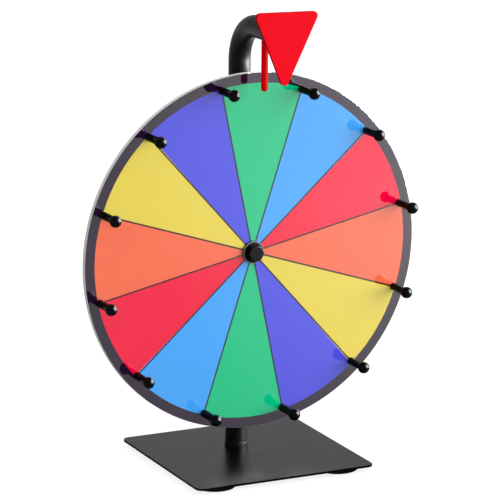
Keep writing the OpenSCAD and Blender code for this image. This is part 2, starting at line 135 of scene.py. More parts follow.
class DiscSettings(bpy.types.PropertyGroup):
    """Print and edges of the wheel's disc"""
    band_w: length("Band", "Width of the dark band round the print", 11.0)
    line_w: length("Line", "Width of the dark line between two sectors", 1.7)
    first_line: turn("First Line", "Angle of the line at the left of the top sector", 102)
    edge: length("Edge", "Rounding of the sheet's and the board's edges", 0.4)
    hole_d: length("Hole", "Diameter of the hole in the printed sheet", 14.0)
    green: tint("Green", "Colour of the top and bottom sectors", (0.0, 0.56, 0.24))
    blue: tint("Blue", "Colour of the sectors after the green ones", (0.054, 0.387, 0.97))
    red: tint("Red", "Colour of the sectors after the blue ones", (0.92, 0.001, 0.046))
    orange: tint("Orange", "Colour of the sectors after the red ones", (0.95, 0.158, 0.07))
    yellow: tint("Yellow", "Colour of the sectors after the orange ones", (0.82, 0.655, 0.074))
    purple: tint("Purple", "Colour of the sectors after the yellow ones", (0.076, 0.083, 0.765))
    band: tint("Band Colour", "Colour of the band round the sectors", (0.017, 0.004, 0.025))
    line: tint("Line Colour", "Colour of the lines between the sectors", (0.006, 0.004, 0.008))
    ink: share("Line Ink", "How far a line covers the colour under it", 0.97)
    board: tint("Board", "Colour of the foam board", (0.74, 0.74, 0.75))


class PegSettings(bpy.types.PropertyGroup):
    """Pegs and the screws behind the disc"""
    circle_r: length("Circle Radius", "Radius of the circle that the pegs stand on", 177.8)
    shank_d: length("Shank", "Diameter of a peg's shank", 8.2)
    ball_d: length("Ball", "Diameter of the ball on a peg's end", 12.6)
    neck: length("Neck", "Rounding where the shank meets the ball", 0.5)
    screw_d: length("Peg Screw", "Diameter of a peg screw", 4.0)
    screw_head_d: length("Peg Screw Head", "Diameter of a peg screw's head", 8.0)
    hub_circle_r: length("Hub Circle", "Radius of the circle of hub screws", 27.0)
    hub_screw_count: count("Hub Screws", "Number of hub screws", 6, least=3)
    hub_screw_d: length("Hub Screw", "Diameter of a hub screw", 3.5)
    hub_screw_head_d: length("Hub Screw Head", "Diameter of a hub screw's head", 7.0)
    seed: count("Seed", "Seed of the turn that each screw stops at", 7)


class HubSettings(bpy.types.PropertyGroup):
    """Hub, axle and the cover over its nut"""
    barrel_d: length("Barrel", "Outer diameter of the hub's barrel", 28.04)
    bore_d: length("Bore", "Diameter of the bore for the bearings", 22.04)
    lip_d: length("Lip", "Diameter of the hole in the hub's front lip", 18.8)
    lip_t: length("Lip Thickness", "Thickness of that lip", 1.1)
    groove_d: length("Groove", "Diameter of the keeper ring's groove", 23.24)
    fillet: length("Fillet", "Rounding between the barrel and the flange", 1.2)
    axle_d: length("Axle", "Diameter of the axle", 7.96)
    head_af: length("Head", "Distance across the flats of the axle's head", 13.0)
    head_chamfer: length("Head Chamfer", "Chamfer on the corners of the axle's head", 0.8)
    cover_af: length("Cover", "Distance across the flats of the nut cover", 16.4)
    cover_flange_t: length("Cover Flange", "Thickness of the nut cover's flange", 2.6)
    cover_chamfer: length("Cover Chamfer", "Chamfer round the nut cover's front", 1.8)
    cover_wall: length("Cover Wall", "Thickness of the nut cover's front wall", 3.0)
    # Width of the pale ring painted as a highlight round the nut cover's flange
    cover_rim: length("Cover Rim", "Width of the worn edge round the nut cover's flange", 1.0)
    socket_af: length("Socket", "Distance across the flats inside the nut cover", 13.2)


class StandSettings(bpy.types.PropertyGroup):
    """Pole, base and feet"""
    bend_r: length("Bend", "Radius of the pole's bend at its centre line", 42.0)
    wall: length("Wall", "Wall of the pole's tube", 1.5)
    collar_h: length("Collar", "Height of the collar at the pole's foot", 5.0)
    bolt_d: length("Base Bolt", "Diameter of the bolt under the pole", 8.0)
    bolt_socket_af: length("Base Bolt Socket", "Distance across the flats of the bolt's socket", 5.0)
    plate_corner: length("Plate Corner", "Radius of the base plate's corners", 8.0)
    plate_edge: length("Plate Edge", "Rounding of the base plate's edges", 0.2)
    foot_round: length("Foot Rounding", "Rounding at the lower edge of a foot", 1.5)


class PointerSettings(bpy.types.PropertyGroup):
    """Pointer and flapper"""
    width: length("Width", "Width of the pointer between its sharp corners", 74.5)
    height: length("Height", "Height of the pointer between its sharp corners", 82.0)
    corner: length("Corner", "Radius of the pointer's corners", 4.8)
    thickness: length("Thickness", "Thickness of the pointer", 3.5)
    rise: length("Rise", "Height of the pointer's top edge above the arm's centre line", 24.9)
    tilt: turn("Tilt", "Tilt of the pointer to the right", 1.5)
    edge: length("Edge", "Rounding of the pointer's edges", 0.5)
    stub_d: length("Stub", "Diameter of the stub behind the pointer", 8.0)
    bush_d: length("Bush", "Diameter of the flapper's bush", 11.8)
    bush_bore_d: length("Bush Bore", "Diameter of the bush's bore", 7.8)
    swing: turn("Swing", "Angle that the flapper can bend to each side", 40)


class FinishSettings(bpy.types.PropertyGroup):
    """Colours of the finishes"""
    powder: tint("Powder Coat", "Colour of the pole and the base", (0.002, 0.0019, 0.0024))
    rubber: tint("Rubber", "Colour of the feet", (0.006, 0.006, 0.006))
    nylon: tint("Nylon", "Colour of the hub, saddles and plugs", (0.014, 0.014, 0.015))
    gloss: tint("Gloss Black", "Colour of the pegs and the nut cover", (0.003, 0.003, 0.0036))
    # Pale grey painted as a highlight on the front edge of the nut cover's flange
    worn: tint("Worn Edge", "Colour of the nut cover's worn edge", (0.22, 0.21, 0.22))
    zinc: tint("Zinc", "Colour of the screws and bolts", (0.56, 0.57, 0.58))
    steel: tint("Bearing Steel", "Colour of the bearings", (0.62, 0.63, 0.64))
    brass: tint("Brass", "Colour of the ball cages", (0.6, 0.42, 0.15))
    pointer: tint("Pointer Red", "Colour of the pointer", (0.96, 0.001, 0.012))
    # Darker red painted as shade on the pointer's cut sides
    pointer_side_shade: tint("Pointer Edge", "Colour of the pointer's cut edge", (0.3, 0.001, 0.004))
    flapper: tint("Flapper Red", "Colour of the flapper", (0.78, 0.0012, 0.003))


class StageSettings(bpy.types.PropertyGroup):
    """Camera, lights and floor"""
    azimuth: turn("Azimuth", "Direction of the camera, from straight in front", -26.284)
    elevation: turn("Elevation", "Height of the camera above the horizon", 13.857)
    roll: turn("Roll", "Roll of the camera", 0.59)
    distance: length("Distance", "Distance of the camera from its target", 3248.2)
    target_x: length("Target X", "Where the camera looks, to the right of the axle", 1.54)
    target_z: length("Target Z", "Where the camera looks, above the table", 228.37)
    focal_widths: FloatProperty(name="Focal Length", description="Focal length in widths of the image",
                                default=6.1982, min=0.0)
    floor: share("Floor", "Brightness of the floor's own colour", 0.25)
    floor_near: share("Floor Near", "Light that the floor adds close to the object", 0.84)
    floor_far: share("Floor Far", "Light that the floor adds away from the object", 1.0)
    pool: FloatProperty(name="Light Pool", default=2.9, min=0.0,
                        description="Light on the floor at the front right, which the face mirrors")
    gloss_floor: share("Gloss Floor", "Light that the floor adds in mirrored views", 0.2)
    ambient: share("Ambient", "Light from all round", 0.85)
    key: power("Key", "Power of the soft light at the front right", 136)
    softbox: power("Softbox", "Power of the large box at the right", 1400)
    spark: power("Spark", "Power of the light that glints on the pegs", 200)


class WheelSettings(bpy.types.PropertyGroup):
    """All settings of the prize wheel"""
    disc: PointerProperty(type=DiscSettings, name="Disc", description="Print and edges of the disc")
    pegs: PointerProperty(type=PegSettings, name="Pegs", description="Pegs and screws")
    hub: PointerProperty(type=HubSettings, name="Hub", description="Hub, axle and nut cover")
    stand: PointerProperty(type=StandSettings, name="Stand", description="Pole, base and feet")
    pointer: PointerProperty(type=PointerSettings, name="Pointer", description="Pointer and flapper")
    finish: PointerProperty(type=FinishSettings, name="Finish", description="Colours of the finishes")
    stage: PointerProperty(type=StageSettings, name="Stage", description="Camera, lights and floor")


# Node helpers

def feed(tree, node, inputs):
    """Sets each input of a node to a value, or links it to another node's output"""
    for name, value in inputs.items():
        if isinstance(value, bpy.types.NodeSocket):
            tree.links.new(value, node.inputs[name])
        else:
            node.inputs[name].default_value = value


def add(tree, kind, inputs=None, **settings):
    """New node with its settings and inputs"""
    node = tree.nodes.new(kind)
    for name, value in settings.items():
        setattr(node, name, value)
    feed(tree, node, inputs or {})
    return node


def position(sockets, identifier):
    """Number of the socket with an identifier, for nodes whose sockets share names"""
    return next(i for i, socket in enumerate(sockets) if socket.identifier == identifier)


def calc(tree, operation, *values):
    """Result of a Math node"""
    return add(tree, "ShaderNodeMath", dict(enumerate(values)), operation=operation).outputs[0]


def diagonal(tree, first, second):
    """Distance that two lengths at right angles span"""
    squares = calc(tree, "MULTIPLY_ADD", first, first, calc(tree, "MULTIPLY", second, second))
    return calc(tree, "SQRT", squares)


def split(tree, vector):
    """The X, Y and Z of a vector"""
    return add(tree, "ShaderNodeSeparateXYZ", {0: vector}).outputs


def blended(tree, factor, first, second, mode="MIX"):
    """Mix of two colours"""
    node = add(tree, "ShaderNodeMix", data_type="RGBA", blend_type=mode)
    values = {"Factor_Float": factor, "A_Color": first, "B_Color": second}
    feed(tree, node, {position(node.inputs, name): value for name, value in values.items()})
    return node.outputs[position(node.outputs, "Result_Color")]


def ranged(tree, value, from_low, from_high, to_low, to_high):
    """Value moved from one range to another, and held at its ends"""
    return add(tree, "ShaderNodeMapRange", {
        "Value": value, "From Min": from_low, "From Max": from_high, "To Min": to_low, "To Max": to_high,
    }).outputs["Result"]


def noise(tree, place, grain, detail=3.0):
    """Noise with features of a size in metres"""
    return add(tree, "ShaderNodeTexNoise", {"Vector": place, "Scale": 1 / grain, "Detail": detail}).outputs[0]


def bumped(tree, height, depth):
    """Normal of a surface with a height, whose depth is in metres"""
    return add(tree, "ShaderNodeBump", {"Height": height, "Distance": depth, "Strength": 1.0}).outputs[0]


# Materials

# Plain finishes: colour, roughness, the grain's size and depth in millimetres, and other values of the shader
PLAIN_FINISHES = {
    "powder_coat": ("powder", 0.38, 0.9, 0.006, {"Specular IOR Level": 0.065}),
    "plate_coat": ("powder", 0.3, 0.9, 0.004, {"Specular IOR Level": 0.07}),
    "feet_rubber": ("rubber", 0.8, 0.5, 0.02, {"Specular IOR Level": 0.0}),
    "moulded_nylon": ("nylon", 0.5, 0.6, 0.008, {"Specular IOR Level": 0.25}),
    "gloss_black": ("gloss", 0.1, 2, 0.002, {"Specular IOR Level": 0.025}),
    "zinc_plate": ("zinc", 0.36, 1.5, 0.006, {"Metallic": 1.0}),
    "bearing_steel": ("steel", 0.14, 3, 0.001, {"Metallic": 1.0}),
    "cage_brass": ("brass", 0.28, 1.2, 0.004, {"Metallic": 1.0}),
    "pointer_red": ("pointer", 0.4, 1.5, 0.003, {"Specular IOR Level": 0.004}),
    "flapper_red": ("flapper", 0.5, 1.5, 0.003, {"Specular IOR Level": 0.004}),
}


def shader_of(tree):
    """Main shader of a material's tree"""
    return next(n for n in tree.nodes if n.type == "BSDF_PRINCIPLED")


def new_material(name):
    """New material, its tree, its shader and the object's own coordinates"""
    material = bpy.data.materials.new(name)
    material.use_nodes = True
    tree = material.node_tree
    return material, tree, shader_of(tree), add(tree, "ShaderNodeTexCoord").outputs["Object"]


def shaded(colour, factor=1.0):
    """Colour made lighter or darker, with its alpha"""
    return tuple(min(1.0, c * factor) for c in colour) + (1.0,)


def mottled(tree, factor, colour, first, second):
    """Colour that varies between two shades of itself"""
    return blended(tree, factor, shaded(colour, first), shaded(colour, second))


def grained(finish, name):
    """Plain finish with cloudy colour, uneven gloss and a fine bump"""
    material = bpy.data.materials.get(name)
    if material:
        return material
    colour_name, roughness, grain, depth, values = PLAIN_FINISHES[name]
    cloud_size = 40 * MM
    material, tree, shader, place = new_material(name)
    fine = noise(tree, place, grain * MM)
    cloud = noise(tree, place, cloud_size)
    mixed = calc(tree, "MULTIPLY_ADD", fine, 0.5, calc(tree, "MULTIPLY", cloud, 0.5))
    feed(tree, shader, {
        "Base Color": mottled(tree, mixed, getattr(finish, colour_name), 0.8, 1.2),
        "Roughness": ranged(tree, mixed, 0.3, 0.7, roughness * 0.85, roughness * 1.15),
        "Normal": bumped(tree, fine, depth * MM), **values})
    return material


def cut_edge(tree, axis):
    """1 on the sides of a flat piece, and 0 on the faces across an axis"""
    normal = add(tree, "ShaderNodeTexCoord").outputs["Normal"]
    return ranged(tree, calc(tree, "ABSOLUTE", split(tree, normal)[axis]), 0.5, 0.9, 1.0, 0.0)


def plate_coat(finish):
    """Powder coat of the base plate, dull on its cut edge"""
    material = grained(finish, "plate_coat")
    tree = material.node_tree
    rough = shader_of(tree).inputs["Roughness"]
    tree.links.new(calc(tree, "MAXIMUM", rough.links[0].from_socket, cut_edge(tree, "Z")), rough)
    return material


def pointer_red(finish):
    """Bright red plastic with shade painted on its cut edges as a darker red"""
    material = grained(finish, "pointer_red")
    tree = material.node_tree
    base = shader_of(tree).inputs["Base Color"]
    # Paints shade on the cut sides: darker red where the surface faces across the Y axis
    side_shaded = blended(tree, cut_edge(tree, "Y"), base.links[0].from_socket, shaded(finish.pointer_side_shade))
    tree.links.new(side_shaded, base)
    return material


def disc_radius(tree, place):
    """Distance from the axle and the two coordinates across it"""
    centred = add(tree, "ShaderNodeMapping", {"Vector": place, "Location": (0.0, 0.0, -AXLE_HEIGHT)})
    parts = split(tree, centred.outputs[0])
    return diagonal(tree, parts["X"], parts["Z"]), parts["X"], parts["Z"]


def worn_cover(finish, rim_r, rim_y):
    """Black whose flange has a pale grey highlight painted at its front edge, outside a radius from the axle
    """
    material, tree, shader, place = new_material("worn_cover")
    radius, _, _ = disc_radius(tree, place)
    scuffs_and_highlight_jitter = noise(tree, place, 1.2 * MM)
    edge = calc(tree, "MULTIPLY_ADD", scuffs_and_highlight_jitter, 0.8 * MM, radius)
    outer = ranged(tree, edge, rim_r + 0.2 * MM, rim_r + 0.6 * MM, 0.0, 1.0)
    front = ranged(tree, split(tree, place)["Y"], rim_y + 0.3 * MM, rim_y + 0.6 * MM, 1.0, 0.0)
    # Painted highlight mask: the flange's front edge outside the rim radius, its border made ragged by the
    # noise
    worn = calc(tree, "MULTIPLY", outer, front)
    black = mottled(tree, scuffs_and_highlight_jitter, finish.gloss, 0.8, 1.2)
    feed(tree, shader, {
        "Base Color": blended(tree, worn, black, shaded(finish.worn)),
        "Roughness": ranged(tree, worn, 0.0, 1.0, 0.42, 0.5),
        "Normal": bumped(tree, scuffs_and_highlight_jitter, 0.003 * MM),
        "Specular IOR Level": 0.018, "Specular Tint": (1.0, 0.8, 1.0, 1.0)})
    return material


def foam_board(disc):
    """Paper skin on the back, and a cut edge that shows the foam's cells"""
    material, tree, shader, place = new_material("foam_board")
    radius, _, _ = disc_radius(tree, place)
    rim = ranged(tree, radius, DISC_R - 0.5 * MM, DISC_R - 0.2 * MM, 0.0, 1.0)
    fibres = noise(tree, place, 0.8 * MM, 5.0)
    cell_size = 0.7 * MM
    cells = add(tree, "ShaderNodeTexVoronoi", {"Vector": place, "Scale": 1 / cell_size}).outputs["Distance"]
    skin = mottled(tree, fibres, disc.board, 0.94, 1.04)
    cut = mottled(tree, cells, disc.board, 1.0, 0.78)
    height = calc(tree, "MULTIPLY_ADD", fibres, 0.1, calc(tree, "MULTIPLY", cells, rim))
    feed(tree, shader, {
        "Base Color": blended(tree, rim, skin, cut),
        "Roughness": ranged(tree, rim, 0.0, 1.0, 0.55, 0.85),
        "Normal": bumped(tree, height, 0.06 * MM),
        "Specular IOR Level": 0.2})
    return material


def sector_colours(tree, disc, place):
    """Colour of the sectors, the distance to the nearest line between two of them, and the radius"""
    radius, across, up = disc_radius(tree, place)
    sector = math.tau / PEG_COUNT
    angle = calc(tree, "ARCTAN2", up, across)
    number = calc(tree, "DIVIDE", calc(tree, "SUBTRACT", disc.first_line, angle), sector)
    colours = (disc.green, disc.blue, disc.red, disc.orange, disc.yellow, disc.purple)
    turn_share = calc(tree, "FRACT", calc(tree, "DIVIDE", number, len(colours)))
    ramp = add(tree, "ShaderNodeValToRGB", {0: turn_share})
    ramp.color_ramp.interpolation = "CONSTANT"
    stops = ramp.color_ramp.elements
    while len(stops) < len(colours):
        stops.new(1.0)
    for i, colour in enumerate(colours):
        stops[i].position = i / len(colours)
        stops[i].color = shaded(colour)
    off_line = calc(tree, "MULTIPLY", calc(tree, "PINGPONG", number, 0.5), sector)
    return ramp.outputs["Color"], calc(tree, "MULTIPLY", off_line, radius), radius


def sector_print(disc):
    """Six colours, each twice, with dark lines and a dark band, under a clear sheet that mirrors"""
    material, tree, shader, place = new_material("sector_print")
    colour, aside, radius = sector_colours(tree, disc, place)
    cloud = noise(tree, place, 25 * MM)
    field = blended(tree, 1.0, colour, mottled(tree, cloud, (1.0, 1.0, 1.0), 0.97, 1.0), "MULTIPLY")
    soft = 0.08 * MM
    line = ranged(tree, aside, disc.line_w / 2 - soft, disc.line_w / 2 + soft, disc.ink, 0.0)
    rim_r = DISC_R - disc.band_w
    rim = ranged(tree, radius, rim_r - soft, rim_r + soft, 0.0, 1.0)
    lined = blended(tree, line, field, shaded(disc.line))
    printed = blended(tree, rim, lined, mottled(tree, cloud, disc.band, 0.9, 1.1))
    side = ranged(tree, radius, DISC_R - disc.edge, DISC_R - 0.5 * disc.edge, 0.0, 1.0)
    sheet_edge = (0.5, 0.5, 0.51, 1.0)
    feed(tree, shader, {
        "Base Color": blended(tree, side, printed, sheet_edge),
        "Roughness": ranged(tree, cloud, 0.3, 0.7, 0.42, 0.48),
        "Coat Normal": bumped(tree, noise(tree, place, 70 * MM, 1.0), 0.03 * MM),
        "Coat Weight": ranged(tree, rim, 0.0, 1.0, 0.7, 0.9),
        "Specular IOR Level": 0.0, "Coat Roughness": 0.02, "Coat IOR": 1.5})
    return material


# Meshes

def upright(x, y, z):
    """Place with its local axes along the frame's"""
    return Matrix.Translation((x, y, z))


def facing(y, z):
    """Place on a line to the front, with local +Z to the front and local +Y up"""
    return Matrix.Translation((0.0, y, z)) @ Matrix.Rotation(RIGHT_ANGLE, 4, "X")


def hexagon(af, angle):
    """Radius of a hexagon at an angle, by the distance across its flats"""
    flat = math.radians(60)
    return af / 2 / math.cos(angle % flat - flat / 2)


def hex_end(af, chamfer, angle):
    """Radius of a chamfered hexagon at an angle, and its chamfer's depth and end radius there"""
    side, corner_r = hexagon(af, angle), hexagon(af, 0.0)
    return side, max(0.0, chamfer - (corner_r - side)), min(side, corner_r - chamfer)


def softened(corners, loop=False, steps=3):
    """Points of a profile whose corners, each a radius, a height and a rounding, are rounded off"""
    points = []
    for i, (radius, height, rounding) in enumerate(corners):
        here = Vector((radius, height))
        if not rounding or not (loop or 0 < i < len(corners) - 1):
            points.append(here)
            continue
        start = here + rounding * (Vector(corners[i - 1][:2]) - here).normalized()
        end = here + rounding * (Vector(corners[(i + 1) % len(corners)][:2]) - here).normalized()
        for k in range(steps + 1):
            t = k / steps
            points.append((1 - t) ** 2 * start + 2 * t * (1 - t) * here + t * t * end)
    return points


def closed_mesh(name, bm):
    """Plain mesh from a bmesh, with doubles merged and faces to the outside"""
    bmesh.ops.remove_doubles(bm, verts=bm.verts, dist=1e-7)
    bmesh.ops.recalc_face_normals(bm, faces=bm.faces)
    mesh = bpy.data.meshes.new(name)
    bm.to_mesh(mesh)
    bm.free()
    return mesh


def turned(name, profile, place, steps=96, loop=False):
    """Profile, or function that gives one for an angle, turned round the local Z axis"""
    bm = bmesh.new()
    sections = []
    for k in range(steps):
        angle = math.tau * k / steps
        points = profile(angle) if callable(profile) else profile
        way = Vector((math.cos(angle), math.sin(angle), 0.0))
        sections.append([bm.verts.new(place @ (way * r + Vector((0.0, 0.0, h)))) for r, h in points])
    for here, after in zip(sections, sections[1:] + sections[:1]):
        for i in range(0 if loop else 1, len(here)):
            bm.faces.new((here[i - 1], here[i], after[i], after[i - 1]))
    return closed_mesh(name, bm)


def slab(name, outline, thickness, edge, place, steps=3):
    """Plate with rounded edges; outline gives the points of its edge drawn in by a length"""
    bm = bmesh.new()
    layers = []
    for end in (0, 1):
        for k in range(steps + 1):
            lean = RIGHT_ANGLE * (k / steps if end else 1 - k / steps)
            rise = edge * (1 - math.cos(RIGHT_ANGLE - lean))
            height = thickness - rise if end else rise
            inset = edge * (1 - math.cos(lean))
            layers.append([bm.verts.new(place @ Vector((x, y, height))) for x, y in outline(inset)])
    for below, above in zip(layers, layers[1:]):
        for i in range(len(below)):
            bm.faces.new((below[i - 1], below[i], above[i], above[i - 1]))
    bm.faces.new(layers[0][::-1])
    bm.faces.new(layers[-1])
    return closed_mesh(name, bm)


def arc(middle, radius, start, end, steps):
    """Points of an arc about a middle, between two angles"""
    angles = [start + (end - start) * k / steps for k in range(steps + 1)]
    return [(middle[0] + radius * math.cos(a), middle[1] + radius * math.sin(a)) for a in angles]


def linked(name, data):
    """Object with its data, in the scene"""
    item = bpy.data.objects.new(name, data)
    bpy.context.scene.collection.objects.link(item)
    return item


def new_piece(name, mesh, material):
    """Object of a mesh with a material, smooth up to an angle"""
    mesh.materials.clear()
    mesh.materials.append(material)
    mesh.shade_smooth()
    mesh.set_sharp_from_angle(angle=SMOOTH_ANGLE)
    return linked(name, mesh)


def settle(piece):
    """Turns a piece's modifiers into its plain mesh"""
    graph = bpy.context.evaluated_depsgraph_get()
    mesh = bpy.data.meshes.new_from_object(piece.evaluated_get(graph), depsgraph=graph)
    piece.modifiers.clear()
    piece.data = mesh


def joined(mesh, others, operation):
    """Mesh with other closed meshes cut out of it or added to it"""
    body = linked("body", mesh)
    tools = [linked("tool", other) for other in others]
    for tool in tools:
        step = body.modifiers.new("step", "BOOLEAN")
        step.operation = operation
        step.solver = "EXACT"
        step.object = tool
    settle(body)
    result = body.data
    for item in [body] + tools:
        bpy.data.objects.remove(item)
    return result


def drill(place, radius, depth):
    """Round tool along the local Z axis of a place"""
    return turned("drill", [(0.0, 0.0), (radius, 0.0), (radius, depth), (0.0, depth)], place, steps=48)


def dress(name, mesh, material, body, slot, *nodes):
    """Puts a finished piece on its body and hides the nodes that it stands for; the finish's slot is not used
    """
    piece = new_piece(name, mesh, material)
    # Keeps flat faces flat beside their rounded edges
    piece.modifiers.new("even_normals", "WEIGHTED_NORMAL").keep_sharp = True
    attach(piece, body)
    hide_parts(*nodes)


def pan_screw(name, shank_r, reach, head_r, head_h):
    """Screw with a domed head at the back, a cross slot and its shank to the front"""
    arm_w, arm_l, depth = head_r / 6, head_r * 0.6, head_h * 0.5

    def profile(angle):
        off = abs((angle + RIGHT_ANGLE / 2) % RIGHT_ANGLE - RIGHT_ANGLE / 2)
        slot = min(arm_l / math.cos(off), arm_w / max(math.sin(off), 1e-6))
        return softened([
            (0.0, depth - head_h, 0), (slot * 0.75, depth - head_h, 0), (slot, -head_h, 0.05 * MM),
            (head_r * 0.72, -head_h, head_r * 0.06), (head_r * 0.93, -head_h * 0.72, head_r * 0.08),
            (head_r, -head_h * 0.4, head_r * 0.08), (head_r, 0.0, 0.1 * MM), (shank_r, 0.0, 0),
            (shank_r, reach - shank_r * 0.4, 0), (shank_r * 0.6, reach, 0), (0.0, reach, 0)])

    return turned(name, profile, facing(0.0, 0.0), steps=96)


# Geometry node trees

def new_tree(name, **sockets):
    """Empty tree with named inputs, whose geometry goes in and out"""
    tree = bpy.data.node_groups.new(name, "GeometryNodeTree")
    face = tree.interface
    face.new_socket("Geometry", in_out="INPUT", socket_type="NodeSocketGeometry")
    for label, kind in sockets.items():
        face.new_socket(label.replace("_", " "), in_out="INPUT", socket_type="NodeSocket" + kind)
    face.new_socket("Geometry", in_out="OUTPUT", socket_type="NodeSocketGeometry")
    return tree, add(tree, "NodeGroupInput").outputs


def close_tree(tree, given, geometry):
    """Ends a tree with real geometry and its material"""
    solid = add(tree, "GeometryNodeRealizeInstances", {"Geometry": geometry})
    done = add(tree, "GeometryNodeSetMaterial", {"Geometry": solid.outputs[0], "Material": given["Material"]})
    add(tree, "NodeGroupOutput", {"Geometry": done.outputs[0]})
    return tree


def ring_tree():
    """Copies of a shape on a circle round the axle, each with a turn of its own"""
    tree, given = new_tree("ring_of_copies", Count="Int", Circle_Radius="Float", First_Angle="Float",
                           Centre="Vector", Turn_Range="Float", Seed="Int", Material="Material")
    index = add(tree, "GeometryNodeInputIndex").outputs[0]
    step = calc(tree, "DIVIDE", math.tau, given["Count"])
    angle = calc(tree, "MULTIPLY_ADD", index, step, given["First Angle"])
    across = calc(tree, "MULTIPLY", calc(tree, "COSINE", angle), given["Circle Radius"])
    up = calc(tree, "MULTIPLY", calc(tree, "SINE", angle), given["Circle Radius"])
    spot = add(tree, "ShaderNodeCombineXYZ", {"X": across, "Z": up}).outputs[0]
    place = add(tree, "ShaderNodeVectorMath", {0: spot, 1: given["Centre"]}, operation="ADD").outputs[0]
    points = add(tree, "GeometryNodePoints", {"Count": given["Count"], "Position": place})
    twist = add(tree, "FunctionNodeRandomValue", {"Seed": given["Seed"]}, data_type="FLOAT")
    feed(tree, twist, {position(twist.inputs, "Max_001"): given["Turn Range"]})
    value = twist.outputs[position(twist.outputs, "Value_001")]
    spin = add(tree, "FunctionNodeAxisAngleToRotation", {"Axis": (0.0, 1.0, 0.0), "Angle": value})
    copies = add(tree, "GeometryNodeInstanceOnPoints", {
        "Points": points.outputs[0], "Instance": given["Geometry"], "Rotation": spin.outputs[0]})
    return close_tree(tree, given, copies.outputs[0])


def corner_tree():
    """Copies of a shape at the four corners of a rectangle"""
    tree, given = new_tree("corner_copies", Width="Float", Depth="Float", Material="Material")
    grid = add(tree, "GeometryNodeMeshGrid", {
        "Size X": given["Width"], "Size Y": given["Depth"], "Vertices X": 2, "Vertices Y": 2})
    copies = add(tree, "GeometryNodeInstanceOnPoints", {
        "Points": grid.outputs["Mesh"], "Instance": given["Geometry"]})
    return close_tree(tree, given, copies.outputs[0])


def tube_tree():
    """Open tube along a line of three points with a round bend"""
    tree, given = new_tree("bent_tube", Foot="Vector", Corner="Vector", End="Vector", Bend_Radius="Float",
                           Bend_Steps="Int", Tube_Radius="Float", Round_Steps="Int", Material="Material")
    index = add(tree, "GeometryNodeInputIndex").outputs[0]
    pick = add(tree, "GeometryNodeIndexSwitch", data_type="VECTOR")
    pick.index_switch_items.new()
    feed(tree, pick, {"Index": index, 1: given["Foot"], 2: given["Corner"], 3: given["End"]})
    points = add(tree, "GeometryNodePoints", {"Count": 3, "Position": pick.outputs[0]})
    line = add(tree, "GeometryNodePointsToCurves", {"Points": points.outputs[0]})
    path = add(tree, "GeometryNodeFilletCurve", {
        "Curve": line.outputs[0], "Count": given["Bend Steps"], "Radius": given["Bend Radius"]}, mode="POLY")
    around = add(tree, "GeometryNodeCurvePrimitiveCircle", {
        "Resolution": given["Round Steps"], "Radius": given["Tube Radius"]})
    skin = add(tree, "GeometryNodeCurveToMesh", {
        "Curve": path.outputs[0], "Profile Curve": around.outputs[0]})
    return close_tree(tree, given, skin.outputs[0])


def grown(name, mesh, tree, material, **inputs):
    """Plain mesh that a tree makes from a mesh"""
    piece = linked(name, mesh)
    modifier = piece.modifiers.new(tree.name, "NODES")
    modifier.node_group = tree
    values = {label.replace("_", " "): value for label, value in inputs.items()}
    values["Material"] = material
    for item in tree.interface.items_tree:
        if item.in_out == "INPUT" and item.name in values:
            modifier[item.identifier] = values.pop(item.name)
    if values:
        raise ValueError(f"{tree.name} has no input {sorted(values)}")
    settle(piece)
    result = piece.data
    bpy.data.objects.remove(piece)
    return result


# Operators, one for each piece or group of like pieces

class PRIZEWHEEL_OT_base_sheet(bpy.types.Operator):
    """Makes the base plate, a steel sheet with round corners and broken edges"""
    bl_idname = "prizewheel.base_sheet"
    bl_label = "Base Sheet"

    def execute(self, context):
        wheel = context.scene.prize_wheel
        lowest, highest = low("base_plate"), high("base_plate")
        corner = wheel.stand.plate_corner
        half_w, half_l = highest.x - corner, highest.y - corner

        def outline(inset):
            points = []
            for quarter, (side, end) in enumerate(((1, 1), (-1, 1), (-1, -1), (1, -1))):
                start = quarter * RIGHT_ANGLE
                middle = (side * half_w, end * half_l)
                points += arc(middle, corner - inset, start, start + RIGHT_ANGLE, 12)
            return points

        thickness, hole_r = highest.z - lowest.z, wheel.stand.bolt_d / 2 + BOLT_CLEAR
        sheet = slab("base_sheet", outline, thickness, wheel.stand.plate_edge, upright(0, 0, lowest.z))
        hole = drill(upright(0, POLE_Y, lowest.z - MM), hole_r, thickness + 2 * MM)
        dress("base_sheet", joined(sheet, [hole], "DIFFERENCE"), plate_coat(wheel.finish),
              "stand", "black_powder_coat", "base_plate")
        return {"FINISHED"}


class PRIZEWHEEL_OT_rubber_feet(bpy.types.Operator):
    """Makes the four rubber feet under the base plate"""
    bl_idname = "prizewheel.rubber_feet"
    bl_label = "Rubber Feet"

    def execute(self, context):
        wheel = context.scene.prize_wheel
        lowest, highest = low("foot_rear_right"), high("foot_rear_right")
        radius = (highest.x - lowest.x) / 2
        middle = (lowest + highest) / 2
        dish_r, dish, slope, edge = radius * 0.6, 0.4 * MM, 0.8 * MM, 0.3 * MM
        profile = softened([
            (0.0, dish, 0), (dish_r, dish, edge), (dish_r + slope, 0.0, 0.2 * MM),
            (radius, 0.0, wheel.stand.foot_round), (radius, highest.z, edge), (0.0, highest.z, 0)], steps=5)
        foot = turned("foot", profile, upright(0, 0, 0), steps=72)
        rubber = grained(wheel.finish, "feet_rubber")
        mesh = grown("feet", foot, corner_tree(), rubber, Width=2 * middle.x, Depth=2 * middle.y)
        dress("rubber_feet", mesh, rubber, "stand", "black_rubber",
              "foot_front_left", "foot_front_right", "foot_rear_left", "foot_rear_right")
        return {"FINISHED"}


